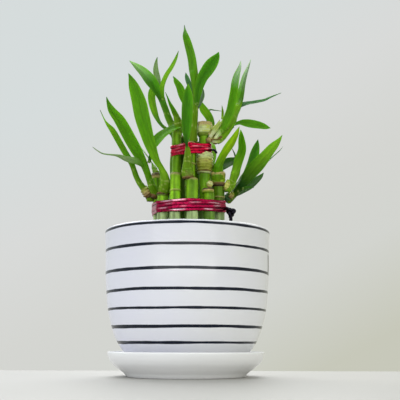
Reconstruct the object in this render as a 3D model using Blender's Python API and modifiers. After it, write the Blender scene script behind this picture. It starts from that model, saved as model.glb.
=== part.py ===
"""Lucky bamboo: a tied two-tier bundle of cut stalks with leafy shoots, in a glazed pot on its saucer.

Written for Blender 4.5. Metres, +Z up. The origin is on the pot's axis, on the surface that the
saucer stands on, and -Y is the front. Tables are in millimetres, and mm() turns them into metres.
"""

import math

import bmesh
import bpy
from mathutils import Euler, Vector

# ---------------------------------------------------------------- driving dimensions
MM = 0.001
GAP = 0.3 * MM  # clearance between pieces that touch

MERGE = 0.01 * MM  # points this close are one
CREASE = 40  # edges sharper than this, in degrees, stay sharp in shading

POT_STEPS = 40
# Outer wall of the pot as (radius, height), from under the lip down to the foot.
POT_WALL = [
    (70.1, 118.5), (69.3, 103), (69.0, 85), (67.9, 69),
    (66.2, 54), (62.8, 40), (58.0, 28), (52.2, 20),
]
POT_HEEL = (45.5, 12.5)  # between that wall and the foot
POT_FOOT_RADIUS = 40.5 * MM
POT_FOOT_WIDTH = 4.5 * MM
POT_FOOT_HEIGHT = 2.2 * MM
POT_FOOT_BEVEL = (0.6 * MM, 1.6 * MM)  # out, up
POT_TOP = 121.5 * MM
POT_THICKNESS = 4.4 * MM
POT_FLOOR = 6.5 * MM
DRAIN_RADIUS = 6 * MM

SAUCER_OFFSET = -0.7 * MM  # the pot stands a little off the middle of its saucer
SAUCER_STEPS = 40
# Saucer's section as (radius, height), from the rim down the outside to the flat base.
SAUCER_OUTSIDE = [
    (64.6, 20.4), (65.3, 19.4), (64.8, 17), (63.5, 13.8),
    (61.2, 10.6), (57.1, 7.2), (51.8, 3.4), (48.5, 0),
]
# The same from the middle of its floor up the inside.
SAUCER_INSIDE = [(0, 5), (46, 5), (52, 7), (58, 11.2), (61.6, 16), (63.2, 19.8)]
SAUCER_FLOOR = 5 * MM

SOIL_TOP = 98 * MM
SOIL_CROWN = 2.5 * MM
SOIL_SHOULDER = (0.6, 0.7)  # a point on the crown, as shares of the soil's radius and the crown
SOIL_EDGE = 5 * MM  # depth over which the soil meets the wall in one slope
STALK_FOOT = 62 * MM  # lower ends of the stalks, sunk in the soil

OUTER_RING = 26.4 * MM
OUTER_CENTRE = Vector((1.5 * MM, 0, 0))
INNER_CENTRE = Vector((3 * MM, 0, 0))
STALK_STEPS = 10
NODE_SWELL = 0.45 * MM  # how far a ring stands out of its stalk
NODE_HALF = 1.4 * MM
STALK_BEVEL = (0.4 * MM, 0.6 * MM)  # in, down, round the cut top
HEAD_SLOPE = 1.5 * MM  # height over which a swollen head widens
HEAD_LEAST = 1 * MM  # a head that swells less than this is part of the straight stalk
HOLE_RISE = 4 * MM  # how far a hole's cutter stands above the soil

TIE_HEIGHT = 10.2 * MM
TIE_THICKNESS = 1.0 * MM
TIE_CLEARANCE = 0.75 * MM
TIE_DIRECTIONS = 44
LOWER_TIE_HEIGHT = 141.8 * MM
LOWER_TIE_TILT = (4.5, -2, 0)
LOWER_TIE_ENDS = [
    (33.3, -4.2, 142.4), (33.8, -6.4, 140.8), (35.2, -9, 139), (36.6, -11.4, 137.4), (36.4, -12.8, 133),
    (36, -13, 127.8),
]
LOWER_TIE_WIRE = 1.5 * MM  # radius of its twisted ends
UPPER_TIE_HEIGHT = 192.6 * MM
UPPER_TIE_TILT = (6, -3, 0)
UPPER_TIE_ENDS = [(19.9, -10.5, 190.4), (21.2, -11.6, 190.2), (22.8, -12.4, 189.2), (24, -12.8, 187)]
UPPER_TIE_WIRE = 1.0 * MM

LEAF_THICKNESS = 0.8 * MM
TIP_THICKNESS = 0.5 * MM
TIP_HALF_WIDTH = 0.35 * MM
LEAF_FOOT_RADIUS = 0.9 * MM  # base of a leaf that grows from a shoot's side
LEAF_OPENS = 0.12  # share of such a leaf's length before its blade
LEAF_FOLD = 0.22  # rise of the blade's edges for each unit of half width
SHEATH_SHARE = 0.22  # share of the blade over which the round stem flattens
LEAF_SECTIONS = 12
SECTION_POINTS = 8

# Bearing in degrees from the front towards the right, radius, top, ring heights, lean (x, y).
OUTER_STALKS = [
    (-90, 4.7, 151.0, (112,), (0, 0)),
    (-57, 4.9, 151.6, (116,), (0, 0)),
    (-26, 4.6, 167.0, (108, 152.5), (0, 0)),
    (7, 4.9, 162.4, (114,), (-0.8, 0)),
    (46, 4.8, 153.6, (110,), (-2.8, 0)),
    (78, 5.0, 161.0, (117, 150.5), (-0.8, 0)),
    (111, 4.8, 155.0, (113,), (0.6, 0.3)),
    (144, 5.0, 163.0, (109,), (0.4, 0.8)),
    (178, 4.9, 158.0, (115,), (0, 0.8)),
    (211, 4.7, 165.0, (111, 152.5), (-0.6, 0.8)),
    (241, 4.4, 175.0, (116, 154), (-6.5, 1.2)),
]
# Bearing, distance from the middle, radius, radius of the swollen top, its length, top, ring heights.
INNER_STALKS = [
    (-88, 13.0, 4.0, 4.1, 6, 211.0, (122, 148, 172.5)),
    (-4, 13.0, 4.4, 4.4, 5, 197.2, (128, 158, 178)),
    (58, 13.4, 4.9, 6.6, 11, 215.8, (120, 146, 171.5)),
    (118, 13.0, 4.7, 4.8, 6, 208.0, (131, 160, 182)),
    (168, 13.0, 4.6, 4.6, 6, 204.0, (126, 153, 177)),
    (218, 13.0, 4.5, 4.6, 6, 208.0, (119, 150, 175)),
]

# Shoots, each a stem that ends in a leaf: the share of the length that is stem, the way the leaf
# faces, and its middle line from the base to the tip, each point with the width there.
SHOOTS = {
    # low on the left of outer stalk 1
    "a": (
        0.5, (0.3, -1, 0.3),
        [
            (-32.3, -1, 147.6, 5), (-33.6, -1.2, 151.5, 5.4), (-38, -1.8, 158, 5),
            (-44, -4, 167.5, 4.8), (-49, -7, 180.5, 5.2), (-56.5, -9.5, 192.5, 6),
            (-64.5, -12, 206.5, 5.6), (-69, -13.5, 212, 3.2), (-72, -14, 216.5, 1.3),
            (-76, -15.5, 225, 0.5),
        ],
    ),
    # top of outer stalk 1
    "b": (
        0.3, (0.1, -1, 0.25),
        [
            (-26.8, -2.6, 151.6, 6), (-30, -6.5, 158, 6.6), (-32.5, -9, 164, 6),
            (-35, -12, 171.5, 6.2), (-38.5, -15.5, 179.5, 7.4), (-43, -19, 187, 9.6),
            (-49.5, -22, 198, 10.3), (-57.5, -25.5, 212, 9.8), (-64, -27, 220.5, 7),
            (-67.5, -28, 227.5, 3), (-69, -28.5, 232.5, 0.4),
        ],
    ),
    # top of outer stalk 2
    "c": (
        0.24, (0.15, -1, 0.1),
        [
            (-20.3, -15, 151.9, 8.4), (-19, -18, 158.5, 9.2), (-19.5, -20.5, 165, 8),
            (-22, -23, 171.5, 5.4), (-26, -26, 177.5, 6), (-30.5, -30, 188, 9),
            (-33.5, -33, 196.5, 10.6), (-37.5, -37, 211, 12.8), (-40.5, -39.5, 224.5, 12.2),
            (-45, -41, 237.5, 8.6), (-48, -42, 245.5, 3), (-49.5, -42, 248.5, 0.4),
        ],
    ),
    # top of inner stalk 6, arching over to the left
    "d": (
        0.38, (0.1, -1, 0.2),
        [
            (-7.6, 9.4, 208.4, 5), (-12.5, 8.5, 215, 6), (-17, 8.5, 223.5, 6.2), (-21, 9, 234.5, 6.2),
            (-24.5, 10, 243.5, 6.6), (-29, 11, 252, 9), (-34, 12, 260, 11), (-40, 13.5, 268, 9.4),
            (-47, 14.5, 275, 6.4), (-54.5, 15, 281.5, 0.4),
        ],
    ),
    # top of outer stalk 10
    "e": (
        0.5, (0.1, -1, 0.1),
        [
            (-12.9, 23.2, 165.5, 5.2), (-14, 20.5, 185, 5), (-13, 17, 207.5, 4.4),
            (-18, 16.5, 215.5, 3.8), (-24, 18, 221, 3.4), (-28.5, 20.5, 228, 4.4),
            (-31.5, 22.5, 236, 6), (-34, 25, 246, 6.8), (-34.5, 27.5, 255.5, 6.2), (-34, 30, 265, 0.5),
        ],
    ),
    # top of outer stalk 4, in front of the upper tie
    "f": (
        0.5, (0, -1, 0.1),
        [
            (0.6, -26.6, 162.8, 8.6), (-0.4, -27, 167.5, 8.8), (-0.2, -28, 172, 7.4),
            (0.3, -28.5, 178, 7.2), (0.2, -29.5, 183.5, 5.6), (0, -30, 187, 4.4),
            (-0.6, -31, 190, 2.6), (-0.8, -32, 194.5, 4.4), (-0.8, -33.5, 201.5, 7.2),
            (-0.5, -35.5, 211.5, 9), (-0.1, -38, 223, 9.2), (0.2, -39, 232, 7.4),
            (0.4, -40, 240.5, 0.4),
        ],
    ),
    # top of inner stalk 2, the tallest
    "g": (
        0.52, (-0.3, -1, 0),
        [
            (3.9, -12.7, 197.6, 5.4), (5, -12.5, 207, 5.2), (6, -12.5, 219.5, 4.8),
            (6.5, -11.5, 233.5, 4.6), (6, -10.5, 245.5, 5.6), (5.5, -9.5, 254, 7),
            (4.5, -8, 263.5, 8.1), (2.9, -6.5, 276.5, 7.7), (-0.5, -4, 290.5, 6.9),
            (-2.8, -3, 298.5, 5.5), (-3.5, -2, 304.5, 2), (-4, -1, 309.5, 0.4),
        ],
    ),
    # top of inner stalk 4
    "h": (
        0.3, (-0.3, -1, 0.2),
        [
            (16, 6.6, 208.4, 4.8), (20.5, 7.5, 215, 5), (20.5, 8.5, 221.5, 6.2), (17.5, 9.5, 228, 7.2),
            (13.5, 10.5, 234, 7), (11, 11, 239.5, 4), (9.5, 11, 243.5, 0.4),
        ],
    ),
    # right of inner stalk 3
    "i": (
        0.45, (-0.3, -1, 0.15),
        [
            (23.2, -8, 199.2, 7), (27, -8.5, 203, 9.6), (31.5, -8, 210, 11.4), (36, -7.5, 218, 12),
            (39.5, -5.5, 226.5, 10.4), (44, -2.8, 235, 8.4), (46.5, 0, 244.5, 6.8),
            (48.5, 3, 254.5, 5.6), (51, 6, 264.5, 4.2), (54, 9, 273.5, 2.4), (56.5, 11, 281.5, 0.4),
        ],
    ),
    # thick base on top of outer stalk 6
    "j": (
        0.36, (-0.3, -1, 0.3),
        [
            (26.4, -5.7, 161.4, 10), (26, -7, 167, 11), (26, -8.5, 172.5, 9.6), (27, -12, 178, 8),
            (30, -15.5, 184, 8), (33.5, -19, 189, 8.2), (37.5, -23.5, 194.5, 7.6), (41, -28, 200, 5.2),
            (43.5, -31, 206, 0.4),
        ],
    ),
    # right of outer stalk 6
    "k": (
        0.34, (-0.6, -1, 0.1),
        [
            (33.6, -7, 155, 4.6), (37.5, -7.5, 159.5, 5.6), (39, -9, 165, 6.8),
            (41.5, -11.5, 172.5, 8.8), (44, -14.5, 180.5, 9.2), (46.5, -17.5, 189, 8),
            (46, -20, 197, 6.6), (45.5, -21, 202, 3.8), (45, -21.5, 206, 0.4),
        ],
    ),
    # right of outer stalk 7
    "l": (
        0.3, (-0.35, -1, 0.35),
        [
            (34.2, 8.2, 149, 5.4), (37.5, 6.5, 152.5, 6), (41.5, 4.5, 156.5, 6.6),
            (47, 1.4, 162.5, 8.6), (53, -1.5, 170, 12), (60.5, -5.5, 178.5, 13.6),
            (66.5, -9, 185, 12.2), (71, -11.5, 190, 10.4), (75, -13.5, 194.5, 7.8),
            (78.5, -15, 199, 3.6), (81, -15.5, 203, 0.4),
        ],
    ),
    # top of outer stalk 9, at the back
    "m": (
        0.3, (0, -1, 1),
        [
            (2.6, 27.8, 158.4, 5.6), (2.2, 31, 166, 5.6), (0.5, 37, 178, 5.4), (-1.5, 45, 190, 9.6),
            (-4, 55, 199, 9.4), (-6, 64, 203, 0.4),
        ],
    ),
    # top of outer stalk 8, at the back
    "n": (
        0.3, (0, -1, 0.6),
        [
            (17.6, 22.6, 163.4, 5.6), (18.4, 25, 172, 5.6), (19.6, 29, 184, 6.4), (20.5, 34, 196, 10),
            (20.5, 40, 207, 8.6), (19.5, 47, 214, 0.4),
        ],
    ),
    # top of outer stalk 11, leaning back and left
    "o": (
        0.26, (0.6, 0.3, 1),
        [
            (-28.4, 14.8, 175.4, 5.2), (-30, 17.4, 180, 5), (-33.5, 24, 188, 6), (-39, 33, 197, 9.4),
            (-45, 43, 207, 8.4), (-50, 52, 214, 0.4),
        ],
    ),
    # top of inner stalk 5, at the back
    "p": (
        0.3, (0, -1, 0.8),
        [
            (5.6, 13, 204.4, 5.2), (5.6, 15, 212, 5), (4.6, 19, 222, 6.4), (3.2, 25, 233, 9.8),
            (1.6, 33, 243, 8.2), (0, 42, 249, 0.4),
        ],
    ),
    # top of inner stalk 1
    "q": (
        0.3, (0.3, -1, 0.1),
        [
            (-8.8, 0.9, 211.3, 7.4), (-9, -0.6, 218.5, 7.4), (-10.5, -2.6, 223, 6),
            (-13, -4.5, 228, 4.6), (-16, -6.5, 233.5, 3), (-18, -8.5, 238.5, 1.5),
            (-20, -10, 243, 0.4),
        ],
    ),
}
# Leaves on the side of the shoot that their letter names: the way they face, and the middle line.
LEAVES = {
    "b1": (
        (0.2, -1, 0.35),
        [
            (-40.7, -18.7, 176.8, 6), (-44.5, -20.5, 178.5, 7), (-49, -21, 179.5, 6.4),
            (-53, -21.5, 180.5, 5), (-57, -22, 182, 3.6), (-61.5, -22.5, 183, 2),
            (-71, -23.5, 184, 1.3), (-76, -24.5, 186.5, 1), (-80, -25, 189.5, 0.4),
        ],
    ),
    "d1": (
        (0.2, -1, 0),
        [
            (-24.5, 13.2, 245.5, 3), (-27, 16, 255.5, 4.6), (-29, 19, 266, 5.8),
            (-30.5, 21, 274.5, 5.2), (-30.5, 22.5, 282, 3), (-29.5, 23.5, 288.5, 0.4),
        ],
    ),
    "d2": (
        (-0.3, -1, 0.2),
        [
            (-23, 7.1, 243, 3), (-23.5, 4.5, 251.5, 4.4), (-22, 3, 258, 4.6), (-19, 1, 264, 4.6),
            (-15, 0, 270, 4.4), (-11.5, -1, 277, 3), (-9, -2, 284.5, 0.4),
        ],
    ),
    "g1": (
        (0.3, -1, 0.2),
        [
            (7.5, -14.9, 231, 4), (8, -15.5, 238.5, 6.4), (9.5, -16.5, 246, 8),
            (12.5, -17.5, 254, 9.4), (16, -18, 259.5, 10.8), (19.5, -19, 264.5, 10.8),
            (22.5, -20, 268.5, 8.8), (25, -20.5, 272.5, 5), (26.5, -21, 276, 0.4),
        ],
    ),
    "g2": (
        (0, -1, 0.3),
        [
            (7.5, -8.6, 228, 3), (10, -6, 235, 4.6), (12, -3, 241.5, 4.6), (12.5, -1, 247, 3),
            (12.5, 1, 251, 0.4),
        ],
    ),
    "g3": (
        (0.2, -1, 0.1),
        [
            (3.8, -8.8, 237.3, 3), (2.2, -6, 247.5, 4.4), (-0.5, -3, 256, 4.4), (-1.8, -1, 261, 3),
            (-2.5, -0.5, 264.5, 0.4),
        ],
    ),
    "g4": (
        (0.2, -1, 0.3),
        [
            (2.6, -13, 220, 3.6), (-0.5, -15, 228, 5.4), (-4.5, -17.5, 236, 6.8), (-7, -20, 243, 7.2),
            (-10, -22, 248, 5.4), (-11.5, -22.5, 251, 2.6), (-13, -23, 253, 0.4),
        ],
    ),
    "h1": (
        (0, -1, 0.3),
        [
            (15.7, 10.2, 222, 2), (17, 13, 231, 2), (19.5, 17, 235.5, 1.8), (24, 20, 236, 1.3),
            (30, 24, 236.5, 0.5),
        ],
    ),
    "i1": (
        (-0.3, -1, 0),
        [
            (29.5, -14.6, 206, 3), (31.5, -17, 210, 6), (34, -18, 216.5, 7.4),
            (36.5, -19.5, 223.5, 7.4), (38, -22, 231, 7.4), (39.5, -25, 239, 7.2),
            (40.5, -28, 246, 6.8), (42, -29.5, 252.5, 5.4), (44, -30.5, 258.5, 3), (45, -31, 264, 0.4),
        ],
    ),
    "i2": (
        (0.1, -1, 0.6),
        [
            (43.4, 1.2, 232.4, 4), (47.5, 0, 235, 5.4), (52, 0.6, 236.5, 4.8), (57, 1.5, 237.5, 4),
            (63, 2.4, 239, 3.4), (68, 3, 240.5, 2.8), (74, 3.5, 243.5, 2), (83, 4, 247.5, 0.5),
        ],
    ),
    "i3": (
        (0, -1, 0.1),
        [
            (34.1, -1.1, 214.4, 3), (39.5, 0, 216.5, 3), (44.5, 3, 219, 3.6), (49, 6, 220, 6.4),
            (55.5, 10, 220.5, 8.2), (62.5, 14, 220.5, 7.6), (69.5, 18, 220, 5), (74.5, 22, 220, 0.5),
        ],
    ),
    "j1": (
        (0, -1, 0.1),
        [
            (25.9, -2.1, 171, 4), (25.5, 1, 177.5, 8), (30, 5, 181, 9.4), (35, 10, 184.5, 8.8),
            (40.5, 15, 188, 6.6), (46, 20, 192.5, 0.5),
        ],
    ),
    "k1": (
        (-0.8, -0.6, 0),
        [
            (42.3, -8.4, 174.9, 2.4), (42, -2, 183, 2.2), (41, 1.2, 190, 1.8), (38.5, 4, 196.5, 0.4),
        ],
    ),
    "l1": (
        (-0.3, -1, 0.2),
        [
            (43.3, 5.2, 164.3, 4), (51.5, 9.5, 174, 6.4), (56.5, 13, 184, 8.6), (59.5, 16.5, 194, 8.8),
            (61.5, 19, 202, 5.6), (63, 21, 209, 0.4),
        ],
    ),
    "l2": (
        (-0.75, -0.6, 0.3),
        [
            (56, -0.1, 171.7, 2.6), (61.5, 0.4, 177, 3), (69.5, 2.6, 183.5, 2.4),
            (75.5, 4.5, 189.5, 1.8), (81, 6.5, 195, 1.4), (84, 8, 199, 0.4),
        ],
    ),
    "l3": (
        (-0.2, -1, 0.1),
        [
            (40.6, 9.6, 154.3, 3), (46.5, 11.5, 158.5, 5.6), (53, 17, 164, 7.8),
            (59.5, 22.5, 170.5, 7.2), (65, 27, 175.5, 4.4), (68.5, 30, 180, 0.5),
        ],
    ),
    "l4": (
        (-0.5, -1, 0.2),
        [
            (36.3, 10.8, 152.2, 4), (41, 14, 161, 5.6), (46.5, 18, 168, 6.8), (49.5, 21.5, 174.5, 5.4),
            (52, 24.5, 182, 0.4),
        ],
    ),
    "m1": (
        (0.6, 0.2, 1),
        [
            (4.5, 33, 163, 4), (9, 39, 169, 7.4), (14, 47, 174, 8.8), (20, 56, 174, 6.4),
            (24, 63, 170, 0.4),
        ],
    ),
    "n1": (
        (-0.4, 0.3, 1),
        [
            (20.4, 28.2, 171.6, 4), (24, 36, 179, 7.6), (26, 46, 186, 9.4), (24, 56, 192, 7),
            (20, 65, 195, 0.4),
        ],
    ),
    "q1": (
        (-0.2, -1, 0.4),
        [
            (-9.6, -3.4, 212.4, 5), (-10.5, -6, 212.5, 7.4), (-16.5, -10, 208.5, 7.8),
            (-22, -14, 203.5, 8.8), (-26.5, -17.5, 197, 9.6), (-30, -20, 190.5, 7),
            (-32.5, -22, 185, 0.4),
        ],
    ),
}

# ---------------------------------------------------------------- scene, collections and materials
for old in list(bpy.data.objects):
    bpy.data.objects.remove(old, do_unlink=True)

parts = bpy.data.collections.new("lucky_bamboo")
cutters = bpy.data.collections.new("cutters")
stalk_holes = bpy.data.collections.new("stalk_holes")
bpy.context.scene.collection.children.link(parts)
bpy.context.scene.collection.children.link(cutters)
cutters.children.link(stalk_holes)


def mm(*values):
    return Vector(values) * MM


def material(name, colour, roughness, metallic=0.0):
    made = bpy.data.materials.new(name)
    made.use_nodes = True
    shader = made.node_tree.nodes["Principled BSDF"]
    shader.inputs["Base Color"].default_value = (*colour, 1)
    shader.inputs["Roughness"].default_value = roughness
    shader.inputs["Metallic"].default_value = metallic
    return made


GLAZE = material("white_glaze", (0.80, 0.81, 0.84), 0.12)
EARTH = material("potting_soil", (0.035, 0.022, 0.014), 0.95)
STALK = material("green_stalk", (0.22, 0.36, 0.06), 0.40)
LEAF = material("green_leaf", (0.07, 0.27, 0.02), 0.38)
RED_WIRE = material("red_wire", (0.45, 0.01, 0.05), 0.25, 0.4)


def add(mesh, name, look, collection=parts):
    """Puts a mesh in the scene as one object, shaded smooth with its creases kept."""
    if look:
        mesh.materials.append(look)
    made = bpy.data.objects.new(name, mesh)
    collection.objects.link(made)
    if collection is parts:
        mesh.shade_smooth()
        mesh.set_sharp_from_angle(angle=math.radians(CREASE))
    else:
        made.hide_render = True
        made.display_type = "WIRE"
    return made


def turned(name, profile, steps, look, collection=parts, closed=False):
    """A profile of (radius, height) in metres, turned about Z. It runs down its outer side."""
    mesh = bpy.data.meshes.new(name)
    points = [(radius, 0, height) for radius, height in profile]
    edges = [(i, i + 1) for i in range(len(points) - 1)]
    if closed:
        edges.append((len(points) - 1, 0))
    mesh.from_pydata(points, edges, [])
    made = add(mesh, name, look, collection)
    screw = made.modifiers.new("turn", "SCREW")
    screw.steps = steps
    screw.render_steps = steps
    screw.use_merge_vertices = True
    screw.merge_threshold = MERGE
    return made


# ---------------------------------------------------------------- pot, saucer and soil
def inner_wall():
    """The pot's inner wall as (radius, height) from the floor up, one wall thickness inside."""
    floor = SAUCER_FLOOR + GAP + POT_FLOOR
    wall = [(radius * MM - POT_THICKNESS, height * MM) for radius, height in reversed(POT_WALL)]
    return [(POT_FOOT_RADIUS - POT_THICKNESS, floor)] + wall


def pot():
    base = SAUCER_FLOOR + GAP
    floor = base + POT_FLOOR
    lip = POT_THICKNESS / 2
    middle = POT_WALL[0][0] * MM - lip
    shoulder = POT_WALL[0][1] * MM
    turns = (math.pi * 3 / 4, math.pi / 2, math.pi / 4)
    crown = [(math.cos(turn) * lip, math.sin(turn) * (POT_TOP - shoulder)) for turn in turns]
    outside = [(radius * MM, height * MM) for radius, height in POT_WALL]
    bevel_out, bevel_up = POT_FOOT_BEVEL
    outside += [
        (POT_HEEL[0] * MM, POT_HEEL[1] * MM),
        (POT_FOOT_RADIUS + bevel_out, base + bevel_up),
        (POT_FOOT_RADIUS, base),
    ]
    under = [
        (POT_FOOT_RADIUS - POT_FOOT_WIDTH, base),
        (POT_FOOT_RADIUS - POT_FOOT_WIDTH - bevel_out, base + POT_FOOT_HEIGHT),
        (DRAIN_RADIUS, base + POT_FOOT_HEIGHT),
        (DRAIN_RADIUS, floor),
    ]
    rim = [(middle + across, shoulder + up) for across, up in crown]
    turned("pot", outside + under + inner_wall() + rim, POT_STEPS, GLAZE, closed=True)


def saucer():
    profile = [(radius * MM, height * MM) for radius, height in SAUCER_INSIDE + SAUCER_OUTSIDE]
    made = turned("saucer", profile + [(0, 0)], SAUCER_STEPS, GLAZE)
    made.location.x = SAUCER_OFFSET


def soil():
    wall = [(radius - GAP, height) for radius, height in inner_wall()]
    side = [point for point in wall if point[1] < SOIL_TOP - SOIL_EDGE]
    side[0] = (side[0][0], side[0][1] + GAP)
    radius = side[-1][0]
    across, up = SOIL_SHOULDER
    top = [
        (0, SOIL_TOP + SOIL_CROWN),
        (radius * across, SOIL_TOP + SOIL_CROWN * up),
        (radius, SOIL_TOP),
    ]
    profile = top + side[::-1] + [(0, side[0][1])]
    made = turned("soil", profile, POT_STEPS, EARTH)
    cut = made.modifiers.new("stalk_holes", "BOOLEAN")
    cut.operand_type = "COLLECTION"
    cut.collection = stalk_holes
    cut.solver = "EXACT"


# ---------------------------------------------------------------- stalks
def stalk(name, foot, radius, top, rings, lean, head=None):
    """A cut cane: straight, ringed at its joints, leaning by lean at its top, with a wider head."""
    length = top - STALK_FOOT
    top_radius, top_length = head or (radius, 0)
    axis = Vector((lean.x, lean.y, length))
    bevel_in, bevel_down = STALK_BEVEL
    profile = [(0, length), (top_radius - bevel_in, length), (top_radius, length - bevel_down)]
    if top_radius > radius + HEAD_LEAST:
        profile += [(top_radius, length - top_length + HEAD_SLOPE), (radius, length - top_length)]
    for ring in sorted(rings, reverse=True):
        height = ring * MM - STALK_FOOT
        profile += [
            (radius, height + NODE_HALF),
            (radius + NODE_SWELL, height),
            (radius, height - NODE_HALF),
        ]
    profile += [(radius, 0), (0, 0)]
    made = turned(name, profile, STALK_STEPS, STALK)
    hole_top = SOIL_TOP + SOIL_CROWN + HOLE_RISE - STALK_FOOT
    hole = [(0, hole_top), (radius + GAP, hole_top), (radius + GAP, -GAP), (0, -GAP)]
    cutter = turned(f"hole_{name}", hole, STALK_STEPS, None, stalk_holes)
    for piece in (made, cutter):
        piece.location = (foot.x, foot.y, STALK_FOOT)
        piece.rotation_mode = "QUATERNION"
        piece.rotation_quaternion = Vector((0, 0, 1)).rotation_difference(axis)
    return foot, radius, axis


def on_ring(centre, distance, bearing):
    angle = math.radians(bearing)
    return centre + Vector((math.sin(angle) * distance, -math.cos(angle) * distance, 0))


def stalks():
    """Both tiers. Returns each tier's stalks as (foot, radius, axis) for the ties."""
    outer = []
    for number, (bearing, radius, top, rings, lean) in enumerate(OUTER_STALKS, 1):
        foot = on_ring(OUTER_CENTRE, OUTER_RING, bearing)
        name = f"stalk_outer_{number:02d}"
        outer.append(stalk(name, foot, radius * MM, top * MM, rings, mm(*lean)))
    inner = []
    for number, (bearing, away, radius, swollen, length, top, rings) in enumerate(INNER_STALKS, 1):
        foot = on_ring(INNER_CENTRE, away * MM, bearing)
        name = f"stalk_inner_{number:02d}"
        head = (swollen * MM, length * MM)
        inner.append(stalk(name, foot, radius * MM, top * MM, rings, mm(0, 0), head))
    return outer, inner


# ---------------------------------------------------------------- ties
def around(tier, height, clearance):
    """Points of a line pulled tight round a tier's stalks at one height."""
    circles = [
        (foot.xy + axis.xy * ((height - STALK_FOOT) / axis.z), radius + clearance)
        for foot, radius, axis in tier
    ]
    points = []
    for step in range(TIE_DIRECTIONS):
        angle = math.tau * step / TIE_DIRECTIONS
        way = Vector((math.cos(angle), math.sin(angle)))
        centre, radius = max(circles, key=lambda circle: circle[0].dot(way) + circle[1])
        points.append(centre + way * radius)
    return points


def flat_ring(name, outlines, height):
    """A flat outline with a hole, filled and given its height."""
    curve = bpy.data.curves.new(name, "CURVE")
    curve.dimensions = "2D"
    curve.fill_mode = "BOTH"
    curve.extrude = height / 2
    for outline in outlines:
        spline = curve.splines.new("POLY")
        spline.points.add(len(outline) - 1)
        for point, place in zip(spline.points, outline):
            point.co = (place.x, place.y, 0, 1)
        spline.use_cyclic_u = True
    return bpy.data.objects.new(name, curve)


def tube(name, points, radius):
    """A round bar along a smooth line through the points."""
    curve = bpy.data.curves.new(name, "CURVE")
    curve.dimensions = "3D"
    curve.bevel_depth = radius
    curve.bevel_resolution = 1
    curve.resolution_u = 3
    curve.use_fill_caps = True
    spline = curve.splines.new("BEZIER")
    spline.bezier_points.add(len(points) - 1)
    for point, place in zip(spline.bezier_points, points):
        point.co = place
        point.handle_left_type = "AUTO"
        point.handle_right_type = "AUTO"
    return bpy.data.objects.new(name, curve)


def as_mesh(made, name):
    """The mesh of a curve object, its caps welded, and the curve removed."""
    parts.objects.link(made)
    bpy.context.view_layer.update()
    evaluated = made.evaluated_get(bpy.context.evaluated_depsgraph_get())
    mesh = bpy.data.meshes.new_from_object(evaluated)
    mesh.transform(made.matrix_world)
    edit = bmesh.new()
    edit.from_mesh(mesh)
    bmesh.ops.remove_doubles(edit, verts=edit.verts, dist=MERGE)
    bmesh.ops.recalc_face_normals(edit, faces=edit.faces)
    edit.to_mesh(mesh)
    edit.free()
    mesh.name = name
    bpy.data.objects.remove(made)
    return mesh


def tie(name, tier, height, tilt, ends, wire):
    """Red wire wound round a tier as one band, with its twisted ends joined on."""
    inside = around(tier, height, TIE_CLEARANCE)
    outside = around(tier, height, TIE_CLEARANCE + TIE_THICKNESS)
    band = flat_ring(name, (outside, inside), TIE_HEIGHT)
    band.location.z = height
    band.rotation_euler = Euler([math.radians(angle) for angle in tilt])
    made = add(as_mesh(band, name), name, RED_WIRE)
    twist = tube(f"{name}_ends", [mm(*place) for place in ends], wire)
    twist = add(as_mesh(twist, f"{name}_ends"), f"{name}_ends", None, cutters)
    join = made.modifiers.new("twisted_ends", "BOOLEAN")
    join.operation = "UNION"
    join.object = twist
    join.solver = "EXACT"


def ties(outer, inner):
    tie("lower_tie", outer, LOWER_TIE_HEIGHT, LOWER_TIE_TILT, LOWER_TIE_ENDS, LOWER_TIE_WIRE)
    tie("upper_tie", inner, UPPER_TIE_HEIGHT, UPPER_TIE_TILT, UPPER_TIE_ENDS, UPPER_TIE_WIRE)


# ---------------------------------------------------------------- shoots and leaves
def smooth_line(points, count):
    """Evenly counted points of a Catmull-Rom line through the given ones, with their directions."""
    ends = [points[0] * 2 - points[1]] + points + [points[-1] * 2 - points[-2]]
    line = []
    for step in range(count):
        place = step / (count - 1) * (len(points) - 1)
        span = min(int(place), len(points) - 2)
        t = place - span
        a, b, c, d = ends[span : span + 4]
        square = a * 2 - b * 5 + c * 4 - d
        cube = b * 3 - a - c * 3 + d
        spot = (b * 2 + (c - a) * t + square * t**2 + cube * t**3) / 2
        way = ((c - a) + square * 2 * t + cube * 3 * t**2) / 2
        line.append((spot, way.to_3d().normalized()))
    return line


def section_size(t, opens, half, stem_radius):
    """Half width, half thickness and flatness (0 a round stem, 1 a blade) at t along a leaf."""
    flat = min(max(t - opens, 0) / (1 - opens) / SHEATH_SHARE, 1)
    half = max(half, TIP_HALF_WIDTH)
    stem = min(half, stem_radius)
    thickness = TIP_THICKNESS if t == 1 else LEAF_THICKNESS
    return stem + (half - stem) * flat, stem * (1 - flat) + thickness / 2 * flat, flat


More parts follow.
